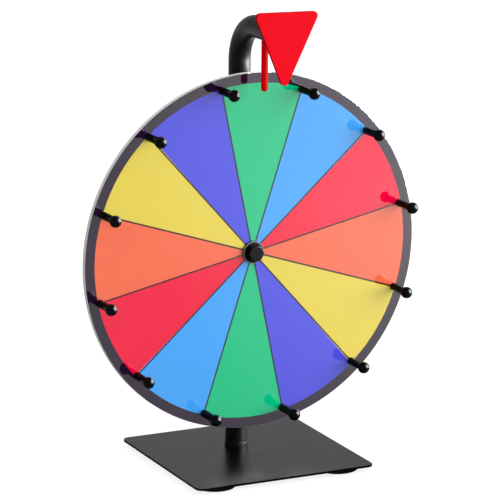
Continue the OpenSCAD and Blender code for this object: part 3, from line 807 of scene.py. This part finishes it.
class PRIZEWHEEL_OT_base_fastener(bpy.types.Operator):
    """Makes the bolt and the washer under the pole"""
    bl_idname = "prizewheel.base_fastener"
    bl_label = "Base Bolt and Washer"

    def execute(self, context):
        wheel = context.scene.prize_wheel
        zinc = grained(wheel.finish, "zinc_plate")
        lowest, highest = low("base_bolt"), high("base_bolt")
        washer_low, washer_high = low("base_washer"), high("base_washer")
        head_r, bolt_r = highest.x, wheel.stand.bolt_d / 2
        head_h = washer_low.z - lowest.z
        bevel, point, socket_depth = head_h / 3, 0.6 * MM, 2.4 * MM
        socket_h = lowest.z + socket_depth

        def bolt(angle):
            socket = hexagon(wheel.stand.bolt_socket_af, angle)
            return softened([
                (0.0, socket_h, 0), (socket, socket_h, 0), (socket, lowest.z, 0.15 * MM),
                (head_r - bevel, lowest.z, 0.4 * MM), (head_r, lowest.z + bevel, 0.5 * MM),
                (head_r, washer_low.z, 0.1 * MM), (bolt_r, washer_low.z, 0),
                (bolt_r, highest.z - point, 0.1 * MM), (bolt_r - point, highest.z, 0.1 * MM),
                (0.0, highest.z, 0)])

        under_pole = upright(0, POLE_Y, 0)
        dress("base_button_bolt", turned("bolt", bolt, under_pole), zinc, "stand", "zinc_steel", "base_bolt")
        inner, outer, edge = bolt_r + BOLT_CLEAR, washer_high.x, 0.25 * MM
        ring = softened([
            (inner, washer_low.z, edge), (outer, washer_low.z, edge), (outer, washer_high.z, edge),
            (inner, washer_high.z, edge)], loop=True)
        dress("base_bolt_washer", turned("washer", ring, under_pole, loop=True), zinc,
              "stand", "zinc_steel", "base_washer")
        return {"FINISHED"}


class PRIZEWHEEL_OT_pole_foot(bpy.types.Operator):
    """Makes the collar that the pole stands in, with the threaded insert inside the tube"""
    bl_idname = "prizewheel.pole_foot"
    bl_label = "Pole Foot"

    def execute(self, context):
        wheel = context.scene.prize_wheel
        lowest, highest = low("pole_insert"), high("pole_insert")
        height, collar_h = highest.z - lowest.z, wheel.stand.collar_h
        insert_r = TUBE_R - wheel.stand.wall - SLIP_CLEAR
        hole_r, hole_h = wheel.stand.bolt_d / 2 + FIT_CLEAR, 13.8 * MM
        profile = softened([
            (0.0, hole_h, 0), (hole_r, hole_h, 0), (hole_r, 0.0, 0.2 * MM), (highest.x, 0.0, 0.3 * MM),
            (highest.x, collar_h, 0.45 * MM), (insert_r, collar_h, 0), (insert_r, height, 0.5 * MM),
            (0.0, height, 0)])
        mesh = turned("pole_foot", profile, upright(0, POLE_Y, lowest.z))
        dress("pole_collar", mesh, grained(wheel.finish, "powder_coat"),
              "stand", "black_powder_coat", "pole_insert")
        return {"FINISHED"}


class PRIZEWHEEL_OT_bent_pole(bpy.types.Operator):
    """Makes the pole, a tube that rises behind the wheel and bends forward over it"""
    bl_idname = "prizewheel.bent_pole"
    bl_label = "Bent Pole"

    def execute(self, context):
        wheel = context.scene.prize_wheel
        coat = grained(wheel.finish, "powder_coat")
        foot = (0.0, POLE_Y, low("pole").z)
        corner = (0.0, POLE_Y, ARM_HEIGHT)
        end = (0.0, ARM_END_Y, ARM_HEIGHT)
        skin = grown("pole", bpy.data.meshes.new("pole"), tube_tree(), coat, Foot=foot, Corner=corner,
                     End=end, Bend_Radius=wheel.stand.bend_r, Bend_Steps=40, Tube_Radius=TUBE_R,
                     Round_Steps=96)
        tube = linked("tube", skin)
        bm = bmesh.new()
        bm.from_mesh(skin)
        bmesh.ops.recalc_face_normals(bm, faces=bm.faces)
        bm.to_mesh(skin)
        bm.free()
        walls = tube.modifiers.new("walls", "SOLIDIFY")
        walls.thickness = wheel.stand.wall
        walls.offset = -1.0
        settle(tube)
        mesh = tube.data
        bpy.data.objects.remove(tube)
        tube_d = 2 * TUBE_R
        bush_r, axle_r = wheel.pointer.bush_d / 2 + SLIP_CLEAR, wheel.hub.axle_d / 2 + AXLE_CLEAR
        bush_hole = drill(upright(0, FLAP_Y, ARM_HEIGHT - tube_d), bush_r, tube_d)
        axle_hole = drill(facing(POLE_Y + tube_d, AXLE_HEIGHT), axle_r, 2 * tube_d)
        dress("bent_pole", joined(mesh, [bush_hole, axle_hole], "DIFFERENCE"), coat,
              "stand", "black_powder_coat", "pole")
        return {"FINISHED"}


class PRIZEWHEEL_OT_axle(bpy.types.Operator):
    """Makes the axle bolt, with its six-sided head behind the pole"""
    bl_idname = "prizewheel.axle"
    bl_label = "Axle Bolt"

    def execute(self, context):
        wheel = context.scene.prize_wheel
        hub = wheel.hub
        seat_y = high("rear_saddle").y
        head_h = high("axle_bolt").y - seat_y
        reach = seat_y - low("axle_bolt").y
        radius, point = hub.axle_d / 2, 0.6 * MM

        def bolt(angle):
            side, drop, end_r = hex_end(hub.head_af, hub.head_chamfer, angle)
            return softened([
                (0.0, -head_h, 0), (end_r, -head_h, 0.15 * MM), (side, drop - head_h, 0.15 * MM),
                (side, 0.0, 0.2 * MM), (radius, 0.0, 0.1 * MM), (radius, reach - point, 0.1 * MM),
                (radius - point, reach, 0.1 * MM), (0.0, reach, 0)])

        mesh = turned("axle", bolt, facing(seat_y, AXLE_HEIGHT))
        dress("axle_hex_bolt", mesh, grained(wheel.finish, "zinc_plate"), "stand", "zinc_steel", "axle_bolt")
        return {"FINISHED"}


class PRIZEWHEEL_OT_saddles(bpy.types.Operator):
    """Makes the two saddles, hollowed to sit on the pole's tube"""
    bl_idname = "prizewheel.saddles"
    bl_label = "Saddles"

    def execute(self, context):
        wheel = context.scene.prize_wheel
        nylon = grained(wheel.finish, "moulded_nylon")
        bore, seat_r = wheel.hub.axle_d / 2 + AXLE_CLEAR, TUBE_R + SADDLE_CLEAR
        for node, name, end_y, side in (
                ("front_saddle", "front_pole_saddle", low("front_saddle").y, 1),
                ("rear_saddle", "rear_pole_saddle", high("rear_saddle").y, -1)):
            outer = high(node).x
            end = abs(POLE_Y - end_y)

            def block(angle, outer=outer, end=end, side=side):
                inner_seat, outer_seat = (
                    math.sqrt(seat_r ** 2 - (r * math.cos(angle)) ** 2) for r in (bore, outer))
                return softened([
                    (bore, side * inner_seat, 0), (outer, side * outer_seat, 0.3 * MM),
                    (outer, side * end, 0.5 * MM), (bore, side * end, 0.2 * MM)], loop=True)

            mesh = turned(name, block, facing(POLE_Y, AXLE_HEIGHT), loop=True)
            dress(name, mesh, nylon, "stand", "black_nylon", node)
        return {"FINISHED"}


class PRIZEWHEEL_OT_nut_cover(bpy.types.Operator):
    """Makes the black cover with six flats over the axle's nut"""
    bl_idname = "prizewheel.nut_cover"
    bl_label = "Nut Cover"

    def execute(self, context):
        wheel = context.scene.prize_wheel
        hub = wheel.hub
        back_y, flange_r = high("nut_cap").y, high("nut_cap").x
        height = back_y - low("nut_cap").y
        floor_h = height - hub.cover_wall
        edge = 0.3 * MM

        def cover(angle):
            side, drop, end_r = hex_end(hub.cover_af, hub.cover_chamfer, angle)
            inside = hexagon(hub.socket_af, angle)
            return softened([
                (0.0, floor_h, 0), (inside, floor_h, 0), (inside, 0.0, 0.1 * MM), (flange_r, 0.0, edge),
                (flange_r, hub.cover_flange_t, 0.5 * MM), (side, hub.cover_flange_t, edge),
                (side, height - drop, edge), (end_r, height, edge), (0.0, height, 0)])

        mesh = turned("nut_cover", cover, facing(back_y, AXLE_HEIGHT), steps=120)
        # The cover's material paints a pale highlight on the front edge of the flange
        black = worn_cover(wheel.finish, flange_r - hub.cover_rim, back_y - hub.cover_flange_t)
        dress("nut_cover", mesh, black, "stand", "gloss_black_plastic", "nut_cap")
        return {"FINISHED"}


class PRIZEWHEEL_OT_foam_disc(bpy.types.Operator):
    """Makes the white foam board of the wheel"""
    bl_idname = "prizewheel.foam_disc"
    bl_label = "Foam Disc"

    def execute(self, context):
        wheel = context.scene.prize_wheel
        thickness, edge = BOARD_BACK_Y - BOARD_FRONT_Y, wheel.disc.edge
        inner = wheel.hub.barrel_d / 2 + SLIP_CLEAR
        profile = softened([
            (inner, 0.0, edge), (DISC_R, 0.0, 2 * edge), (DISC_R, thickness, 0.1 * MM),
            (inner, thickness, edge)], loop=True)
        mesh = turned("foam_disc", profile, facing(BOARD_BACK_Y, AXLE_HEIGHT), steps=288, loop=True)
        dress("foam_disc", mesh, foam_board(wheel.disc), "wheel", "white_foam_board", "disc_board")
        return {"FINISHED"}


class PRIZEWHEEL_OT_printed_face(bpy.types.Operator):
    """Makes the printed sheet with its clear cover"""
    bl_idname = "prizewheel.printed_face"
    bl_label = "Printed Face"

    def execute(self, context):
        wheel = context.scene.prize_wheel
        thickness, edge = BOARD_FRONT_Y - FACE_Y, wheel.disc.edge
        inner = wheel.disc.hole_d / 2
        profile = softened([
            (inner, 0.0, 0.1 * MM), (DISC_R, 0.0, 0.1 * MM), (DISC_R, thickness, edge),
            (inner, thickness, edge)], loop=True)
        mesh = turned("printed_face", profile, facing(BOARD_FRONT_Y, AXLE_HEIGHT), steps=288, loop=True)
        dress("printed_face", mesh, sector_print(wheel.disc),
              "wheel", "sector_print", "face_print", "clear_cover")
        return {"FINISHED"}


class PRIZEWHEEL_OT_pegs(bpy.types.Operator):
    """Makes the ring of pegs with ball ends"""
    bl_idname = "prizewheel.pegs"
    bl_label = "Pegs"

    def execute(self, context):
        wheel = context.scene.prize_wheel
        pegs = wheel.pegs
        peg_length = FACE_Y - low("peg_1").y
        shank_r, ball_r = pegs.shank_d / 2, pegs.ball_d / 2
        middle = peg_length - ball_r
        start = -math.acos(shank_r / ball_r)
        ball = arc((0.0, middle), ball_r, start, RIGHT_ANGLE, 20)
        corners = [(0.0, 0.0, 0), (shank_r, 0.0, 0.3 * MM), (*ball[0], pegs.neck)]
        corners += [(r, h, 0) for r, h in ball[1:-1]] + [(0.0, peg_length, 0)]
        peg = turned("peg", softened(corners), facing(0.0, 0.0), steps=40)
        black = grained(wheel.finish, "gloss_black")
        mesh = grown("pegs", peg, ring_tree(), black, Count=PEG_COUNT, Circle_Radius=pegs.circle_r,
                     First_Angle=wheel.disc.first_line, Centre=(0.0, FACE_Y, AXLE_HEIGHT), Turn_Range=0.0,
                     Seed=0)
        dress("peg_ring", mesh, black, "wheel", "gloss_black_plastic",
              *(f"peg_{i + 1}" for i in range(PEG_COUNT)))
        return {"FINISHED"}


class PRIZEWHEEL_OT_back_screws(bpy.types.Operator):
    """Makes the cross-slotted screws behind the pegs and the hub's flange"""
    bl_idname = "prizewheel.back_screws"
    bl_label = "Back Screws"

    def execute(self, context):
        wheel = context.scene.prize_wheel
        pegs = wheel.pegs
        zinc = grained(wheel.finish, "zinc_plate")
        copies = ring_tree()
        hub_head_h = 2.2 * MM
        flange_y = high("hub_screws").y - hub_head_h
        rings = (
            ("peg_screws", "peg_screw_ring", BOARD_BACK_Y, pegs.screw_d, pegs.screw_head_d, PEG_COUNT,
             pegs.circle_r, wheel.disc.first_line),
            ("hub_screws", "hub_screw_ring", flange_y, pegs.hub_screw_d, pegs.hub_screw_head_d,
             pegs.hub_screw_count, pegs.hub_circle_r, 0.0),
        )
        for node, name, seat_y, shank_d, head_d, number, circle_r, first in rings:
            head_h, reach = high(node).y - seat_y, seat_y - low(node).y
            screw = pan_screw(name, shank_d / 2, reach, head_d / 2, head_h)
            mesh = grown(name, screw, copies, zinc, Count=number, Circle_Radius=circle_r, First_Angle=first,
                         Centre=(0.0, seat_y, AXLE_HEIGHT), Turn_Range=math.tau, Seed=pegs.seed)
            dress(name, mesh, zinc, "wheel", "zinc_steel", node)
        return {"FINISHED"}


class PRIZEWHEEL_OT_hub_body(bpy.types.Operator):
    """Makes the flanged hub that holds the bearings behind the disc"""
    bl_idname = "prizewheel.hub_body"
    bl_label = "Hub Body"

    def execute(self, context):
        wheel = context.scene.prize_wheel
        hub = wheel.hub
        back_y, flange_r = high("hub_housing").y, high("hub_housing").x
        front = back_y - low("hub_housing").y
        ring_back, ring_front = back_y - high("hub_circlip").y, back_y - low("hub_circlip").y
        flange_front = back_y - BOARD_BACK_Y
        flange_t = 3 * MM
        flange_back = flange_front - flange_t
        barrel, bore, lip, groove = hub.barrel_d / 2, hub.bore_d / 2, hub.lip_d / 2, hub.groove_d / 2
        edge = 0.35 * MM
        profile = softened([
            (bore, 0.0, edge), (barrel, 0.0, edge), (barrel, flange_back, hub.fillet),
            (flange_r, flange_back, 2 * edge), (flange_r, flange_front, edge), (barrel, flange_front, 0),
            (barrel, front, edge), (lip, front, edge), (lip, front - hub.lip_t, 0),
            (bore, front - hub.lip_t, 0), (bore, ring_front, 0), (groove, ring_front, 0),
            (groove, ring_back, 0), (bore, ring_back, 0)], loop=True)
        mesh = turned("hub_body", profile, facing(back_y, AXLE_HEIGHT), steps=144, loop=True)
        dress("hub_body", mesh, grained(wheel.finish, "moulded_nylon"), "wheel", "black_nylon", "hub_housing")
        return {"FINISHED"}


class PRIZEWHEEL_OT_arm_plug(bpy.types.Operator):
    """Makes the plug in the arm's end that carries the pointer"""
    bl_idname = "prizewheel.arm_plug"
    bl_label = "Arm Plug"

    def execute(self, context):
        wheel = context.scene.prize_wheel
        flange = ARM_END_Y - low("end_plug").y
        back = high("end_plug").y - ARM_END_Y
        plug_r = TUBE_R - wheel.stand.wall - SLIP_CLEAR
        hole_r, hole_depth = wheel.pointer.stub_d / 2 + FIT_CLEAR, 13 * MM
        hole_end = flange - hole_depth
        profile = softened([
            (0.0, hole_end, 0), (hole_r, hole_end, 0), (hole_r, flange, 0.1 * MM), (TUBE_R, flange, 0.5 * MM),
            (TUBE_R, 0.0, 0.2 * MM), (plug_r, 0.0, 0), (plug_r, -back, 0.5 * MM), (0.0, -back, 0)])
        mesh = turned("arm_plug", profile, facing(ARM_END_Y, ARM_HEIGHT))
        dress("arm_plug", mesh, grained(wheel.finish, "moulded_nylon"), "stand", "black_nylon", "end_plug")
        return {"FINISHED"}


class PRIZEWHEEL_OT_pointer(bpy.types.Operator):
    """Makes the pointer, a bare red triangle with round corners, and its stub"""
    bl_idname = "prizewheel.pointer"
    bl_label = "Pointer"

    def execute(self, context):
        wheel = context.scene.prize_wheel
        pointer = wheel.pointer
        back_y = low("pointer").y + pointer.thickness
        slant = math.atan(pointer.width / 2 / pointer.height)
        top = pointer.rise - pointer.corner
        tip = pointer.rise - pointer.height + pointer.corner / math.sin(slant)
        half_w = pointer.width / 2 - pointer.corner * math.tan((RIGHT_ANGLE + slant) / 2)

        def outline(inset):
            radius = pointer.corner - inset
            return (arc((half_w, top), radius, RIGHT_ANGLE, -slant, 10)
                    + arc((0.0, tip), radius, -slant, slant - math.pi, 16)
                    + arc((-half_w, top), radius, slant - math.pi, -3 * RIGHT_ANGLE, 10))[::-1]

        place = facing(back_y, ARM_HEIGHT)
        tilted = place @ Matrix.Rotation(-pointer.tilt, 4, "Z")
        plate = slab("pointer", outline, pointer.thickness, pointer.edge, tilted)
        stub_l = high("pointer").y - back_y
        stub = drill(place @ upright(0, 0, -stub_l), pointer.stub_d / 2, stub_l + pointer.thickness / 2)
        dress("pointer_plate", joined(plate, [stub], "UNION"), pointer_red(wheel.finish),
              "stand", "red_plastic", "pointer")
        return {"FINISHED"}


class PRIZEWHEEL_OT_flapper(bpy.types.Operator):
    """Makes the flexible red rod that hangs from the arm, down to its round tip"""
    bl_idname = "prizewheel.flapper"
    bl_label = "Flapper"

    def execute(self, context):
        wheel = context.scene.prize_wheel
        reach = FLAP_ROOT - low("flapper").z - FLAP_R
        rings = 48
        profile = arc((0.0, 0.0), FLAP_R, RIGHT_ANGLE, 0.0, 8)
        profile += [(FLAP_R, -reach * k / rings) for k in range(1, rings)]
        profile += arc((0.0, -reach), FLAP_R, 0.0, -RIGHT_ANGLE, 8)
        mesh = turned("flapper", profile, upright(0, FLAP_Y, FLAP_ROOT), steps=40)
        piece = new_piece("flapper_rod", mesh, grained(wheel.finish, "flapper_red"))
        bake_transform(piece)
        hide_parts("flapper")
        return {"FINISHED"}


class PRIZEWHEEL_OT_flapper_rim(bpy.types.Operator):
    """Makes the flared bush in the arm's underside"""
    bl_idname = "prizewheel.flapper_rim"
    bl_label = "Flapper Bush"

    def execute(self, context):
        wheel = context.scene.prize_wheel
        pointer = wheel.pointer
        top = high("flapper_bush").z - FLAP_ROOT
        bush, bore = pointer.bush_d / 2, pointer.bush_bore_d / 2
        slope, wide = math.tan(pointer.swing), bore / math.cos(pointer.swing)
        flare_top = (wide - bore) / slope

        def underside(radius, angle):
            return TUBE_R - math.sqrt(TUBE_R ** 2 - (radius * math.cos(angle)) ** 2)

        def profile(angle):
            mouth = wide
            for _ in range(8):
                mouth = wide - slope * underside(mouth, angle)
            return softened([
                (bore, flare_top, 0.4 * MM), (bore, top, 0.2 * MM), (bush, top, 0.2 * MM),
                (bush, underside(bush, angle), 0.1 * MM), (mouth, underside(mouth, angle), 0.2 * MM)],
                loop=True)

        mesh = turned("flapper_rim", profile, upright(0, FLAP_Y, FLAP_ROOT), steps=72, loop=True)
        dress("flapper_rim", mesh, grained(wheel.finish, "moulded_nylon"),
              "stand", "black_nylon", "flapper_bush")
        return {"FINISHED"}


class PRIZEWHEEL_OT_inner_parts(bpy.types.Operator):
    """Finishes the bearings, spacers, nut and keeper ring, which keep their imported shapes"""
    bl_idname = "prizewheel.inner_parts"
    bl_label = "Inner Parts"

    def execute(self, context):
        finish = context.scene.prize_wheel.finish
        zinc, steel, brass = (grained(finish, name) for name in ("zinc_plate", "bearing_steel", "cage_brass"))
        materials = {name: zinc for name in ("rear_spacer", "front_spacer", "axle_nut", "hub_circlip")}
        for end in ("front", "rear"):
            materials.update({f"{end}_{part}": steel for part in ("inner_race", "outer_race", "balls")})
            materials[f"{end}_cage"] = brass
        for name, material in materials.items():
            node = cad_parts[name]
            for place in node.material_slots:
                place.material = material
        return {"FINISHED"}


class PRIZEWHEEL_OT_stage(bpy.types.Operator):
    """Sets the camera, the lights, the floor and the white surroundings"""
    bl_idname = "prizewheel.stage"
    bl_label = "Stage"

    def execute(self, context):
        stage = context.scene.prize_wheel.stage
        context.scene.view_settings.view_transform = "Standard"
        target = Vector((stage.target_x, 0.0, stage.target_z))
        self.set_camera(context, stage, target)
        self.set_world(context, stage)
        self.add_floor(stage)
        receivers = self.without_glare("base_sheet")
        # Name, azimuth and elevation in degrees, distance and size in metres, power, if for gloss alone
        for name, azimuth, elevation, distance, size, watts, gloss_only in (
                ("key_light", 48, 18, 4.0, (3.2, 3.2), stage.key, False),
                ("side_box", 64, 16, 1.8, (1.6, 1.9), stage.softbox, True),
                ("spark_light", 32, 27, 2.4, (0.9, 0.9), stage.spark, True)):
            way = self.towards(math.radians(azimuth), math.radians(elevation))
            lamp = self.add_lamp(name, way, distance, target)
            lamp.data.size, lamp.data.size_y = size
            lamp.data.energy = watts
            lamp.visible_diffuse = not gloss_only
            lamp.light_linking.receiver_collection = receivers
        return {"FINISHED"}

    @staticmethod
    def towards(azimuth, elevation):
        """Direction from the object, with azimuth 0 in front and 90 to its right"""
        level = math.cos(elevation)
        return Vector((math.sin(azimuth) * level, -math.cos(azimuth) * level, math.sin(elevation)))

    def set_camera(self, context, stage, target):
        """Camera at the photograph's viewing angle"""
        back = self.towards(stage.azimuth, stage.elevation)
        right = Vector((math.cos(stage.azimuth), math.sin(stage.azimuth), 0.0))
        up = back.cross(right)
        cos_roll, sin_roll = math.cos(stage.roll), math.sin(stage.roll)
        across = right * cos_roll + up * sin_roll
        upward = up * cos_roll - right * sin_roll
        data = bpy.data.cameras.new("camera")
        data.sensor_width = 36.0
        data.lens = stage.focal_widths * data.sensor_width
        camera = linked("camera", data)
        axes = Matrix((across, upward, back)).transposed().to_4x4()
        camera.matrix_world = Matrix.Translation(target + back * stage.distance) @ axes
        context.scene.camera = camera

    @staticmethod
    def without_glare(name):
        """Collection that keeps the lamps off a flat dark piece, which would glare where it mirrors them"""
        receivers = bpy.data.collections.new("lamp_receivers")
        receivers.objects.link(bpy.data.objects[name])
        receivers.collection_objects[0].light_linking.link_state = "EXCLUDE"
        return receivers

    @staticmethod
    def seen(tree):
        """1 for rays from the camera, from gloss and through clear things, and 0 for the rest"""
        rays = add(tree, "ShaderNodeLightPath").outputs
        either = calc(tree, "MAXIMUM", rays["Is Camera Ray"], rays["Is Glossy Ray"])
        return calc(tree, "MAXIMUM", either, rays["Is Transmission Ray"])

    def set_world(self, context, stage):
        """White surroundings that light the object only softly"""
        world = bpy.data.worlds.new("surroundings")
        world.use_nodes = True
        tree = world.node_tree
        strength = ranged(tree, self.seen(tree), 0.0, 1.0, stage.ambient, 1.0)
        sky = next(n for n in tree.nodes if n.type == "BACKGROUND")
        feed(tree, sky, {"Color": (1.0, 1.0, 1.0, 1.0), "Strength": strength})
        context.scene.world = world

    def add_floor(self, stage):
        """Pale floor that keeps the object's shadow"""
        bm = bmesh.new()
        half_width = 12.0
        bmesh.ops.create_grid(bm, x_segments=1, y_segments=1, size=half_width)
        mesh = bpy.data.meshes.new("floor")
        bm.to_mesh(mesh)
        bm.free()
        material = bpy.data.materials.new("floor")
        material.use_nodes = True
        tree = material.node_tree
        tree.nodes.clear()
        matte = add(tree, "ShaderNodeBsdfDiffuse", {"Color": (stage.floor, stage.floor, stage.floor, 1.0)})
        spot = split(tree, add(tree, "ShaderNodeTexCoord").outputs["Object"])
        reach = diagonal(tree, spot["X"], spot["Y"])
        near, far = 0.2, 0.9
        open_floor = ranged(tree, reach, near, far, stage.floor_near, stage.floor_far)
        bearing = calc(tree, "ARCTAN2", spot["X"], calc(tree, "MULTIPLY", spot["Y"], -1.0))
        pool_bearing, pool_outer, pool_inner = (math.radians(degrees) for degrees in (56, 38, 17))
        aside = calc(tree, "ABSOLUTE", calc(tree, "SUBTRACT", bearing, pool_bearing))
        wedge = ranged(tree, aside, pool_outer, pool_inner, 0.0, 1.0)
        pool_start, pool_full = 0.1, 1.2
        rising = ranged(tree, reach, pool_start, pool_full, 0.0, stage.pool)
        pool = calc(tree, "MULTIPLY", wedge, rising)
        glossy = add(tree, "ShaderNodeLightPath").outputs["Is Glossy Ray"]
        extra = calc(tree, "MULTIPLY", glossy, calc(tree, "ADD", pool, stage.gloss_floor))
        strength = calc(tree, "MULTIPLY_ADD", self.seen(tree), open_floor, extra)
        glow = add(tree, "ShaderNodeEmission", {"Strength": strength})
        both = add(tree, "ShaderNodeAddShader", {0: matte.outputs[0], 1: glow.outputs[0]})
        add(tree, "ShaderNodeOutputMaterial", {"Surface": both.outputs[0]})
        mesh.materials.append(material)
        floor = linked("floor", mesh)

    @staticmethod
    def add_lamp(name, way, distance, target):
        """Soft rectangular light that faces the object from a direction"""
        data = bpy.data.lights.new(name, "AREA")
        data.shape = "RECTANGLE"
        lamp = linked(name, data)
        aim = (-way).to_track_quat("-Z", "Y").to_matrix().to_4x4()
        lamp.matrix_world = Matrix.Translation(target + way * distance) @ aim
        lamp.visible_camera = False
        return lamp


OPERATORS = (
    PRIZEWHEEL_OT_base_sheet, PRIZEWHEEL_OT_rubber_feet, PRIZEWHEEL_OT_base_fastener, PRIZEWHEEL_OT_pole_foot,
    PRIZEWHEEL_OT_bent_pole, PRIZEWHEEL_OT_axle, PRIZEWHEEL_OT_saddles, PRIZEWHEEL_OT_nut_cover,
    PRIZEWHEEL_OT_foam_disc, PRIZEWHEEL_OT_printed_face, PRIZEWHEEL_OT_pegs, PRIZEWHEEL_OT_back_screws,
    PRIZEWHEEL_OT_hub_body, PRIZEWHEEL_OT_arm_plug, PRIZEWHEEL_OT_pointer, PRIZEWHEEL_OT_flapper,
    PRIZEWHEEL_OT_flapper_rim, PRIZEWHEEL_OT_inner_parts, PRIZEWHEEL_OT_stage,
)


class PRIZEWHEEL_PT_pieces(bpy.types.Panel):
    """Lists the pieces of the prize wheel"""
    bl_idname = "PRIZEWHEEL_PT_pieces"
    bl_label = "Prize Wheel"
    bl_space_type = "VIEW_3D"
    bl_region_type = "UI"
    bl_category = "Prize Wheel"

    def draw(self, context):
        for operator in OPERATORS:
            self.layout.operator(operator.bl_idname)


SETTINGS = (DiscSettings, PegSettings, HubSettings, StandSettings, PointerSettings, FinishSettings,
            StageSettings, WheelSettings)
CLASSES = SETTINGS + OPERATORS + (PRIZEWHEEL_PT_pieces,)


def register():
    for cls in CLASSES:
        bpy.utils.register_class(cls)
    bpy.types.Scene.prize_wheel = PointerProperty(type=WheelSettings)


def unregister():
    del bpy.types.Scene.prize_wheel
    for cls in reversed(CLASSES):
        bpy.utils.unregister_class(cls)


def main():
    register()
    for operator in OPERATORS:
        group, name = operator.bl_idname.split(".")
        getattr(getattr(bpy.ops, group), name)()


if __name__ == "__main__":
    main()
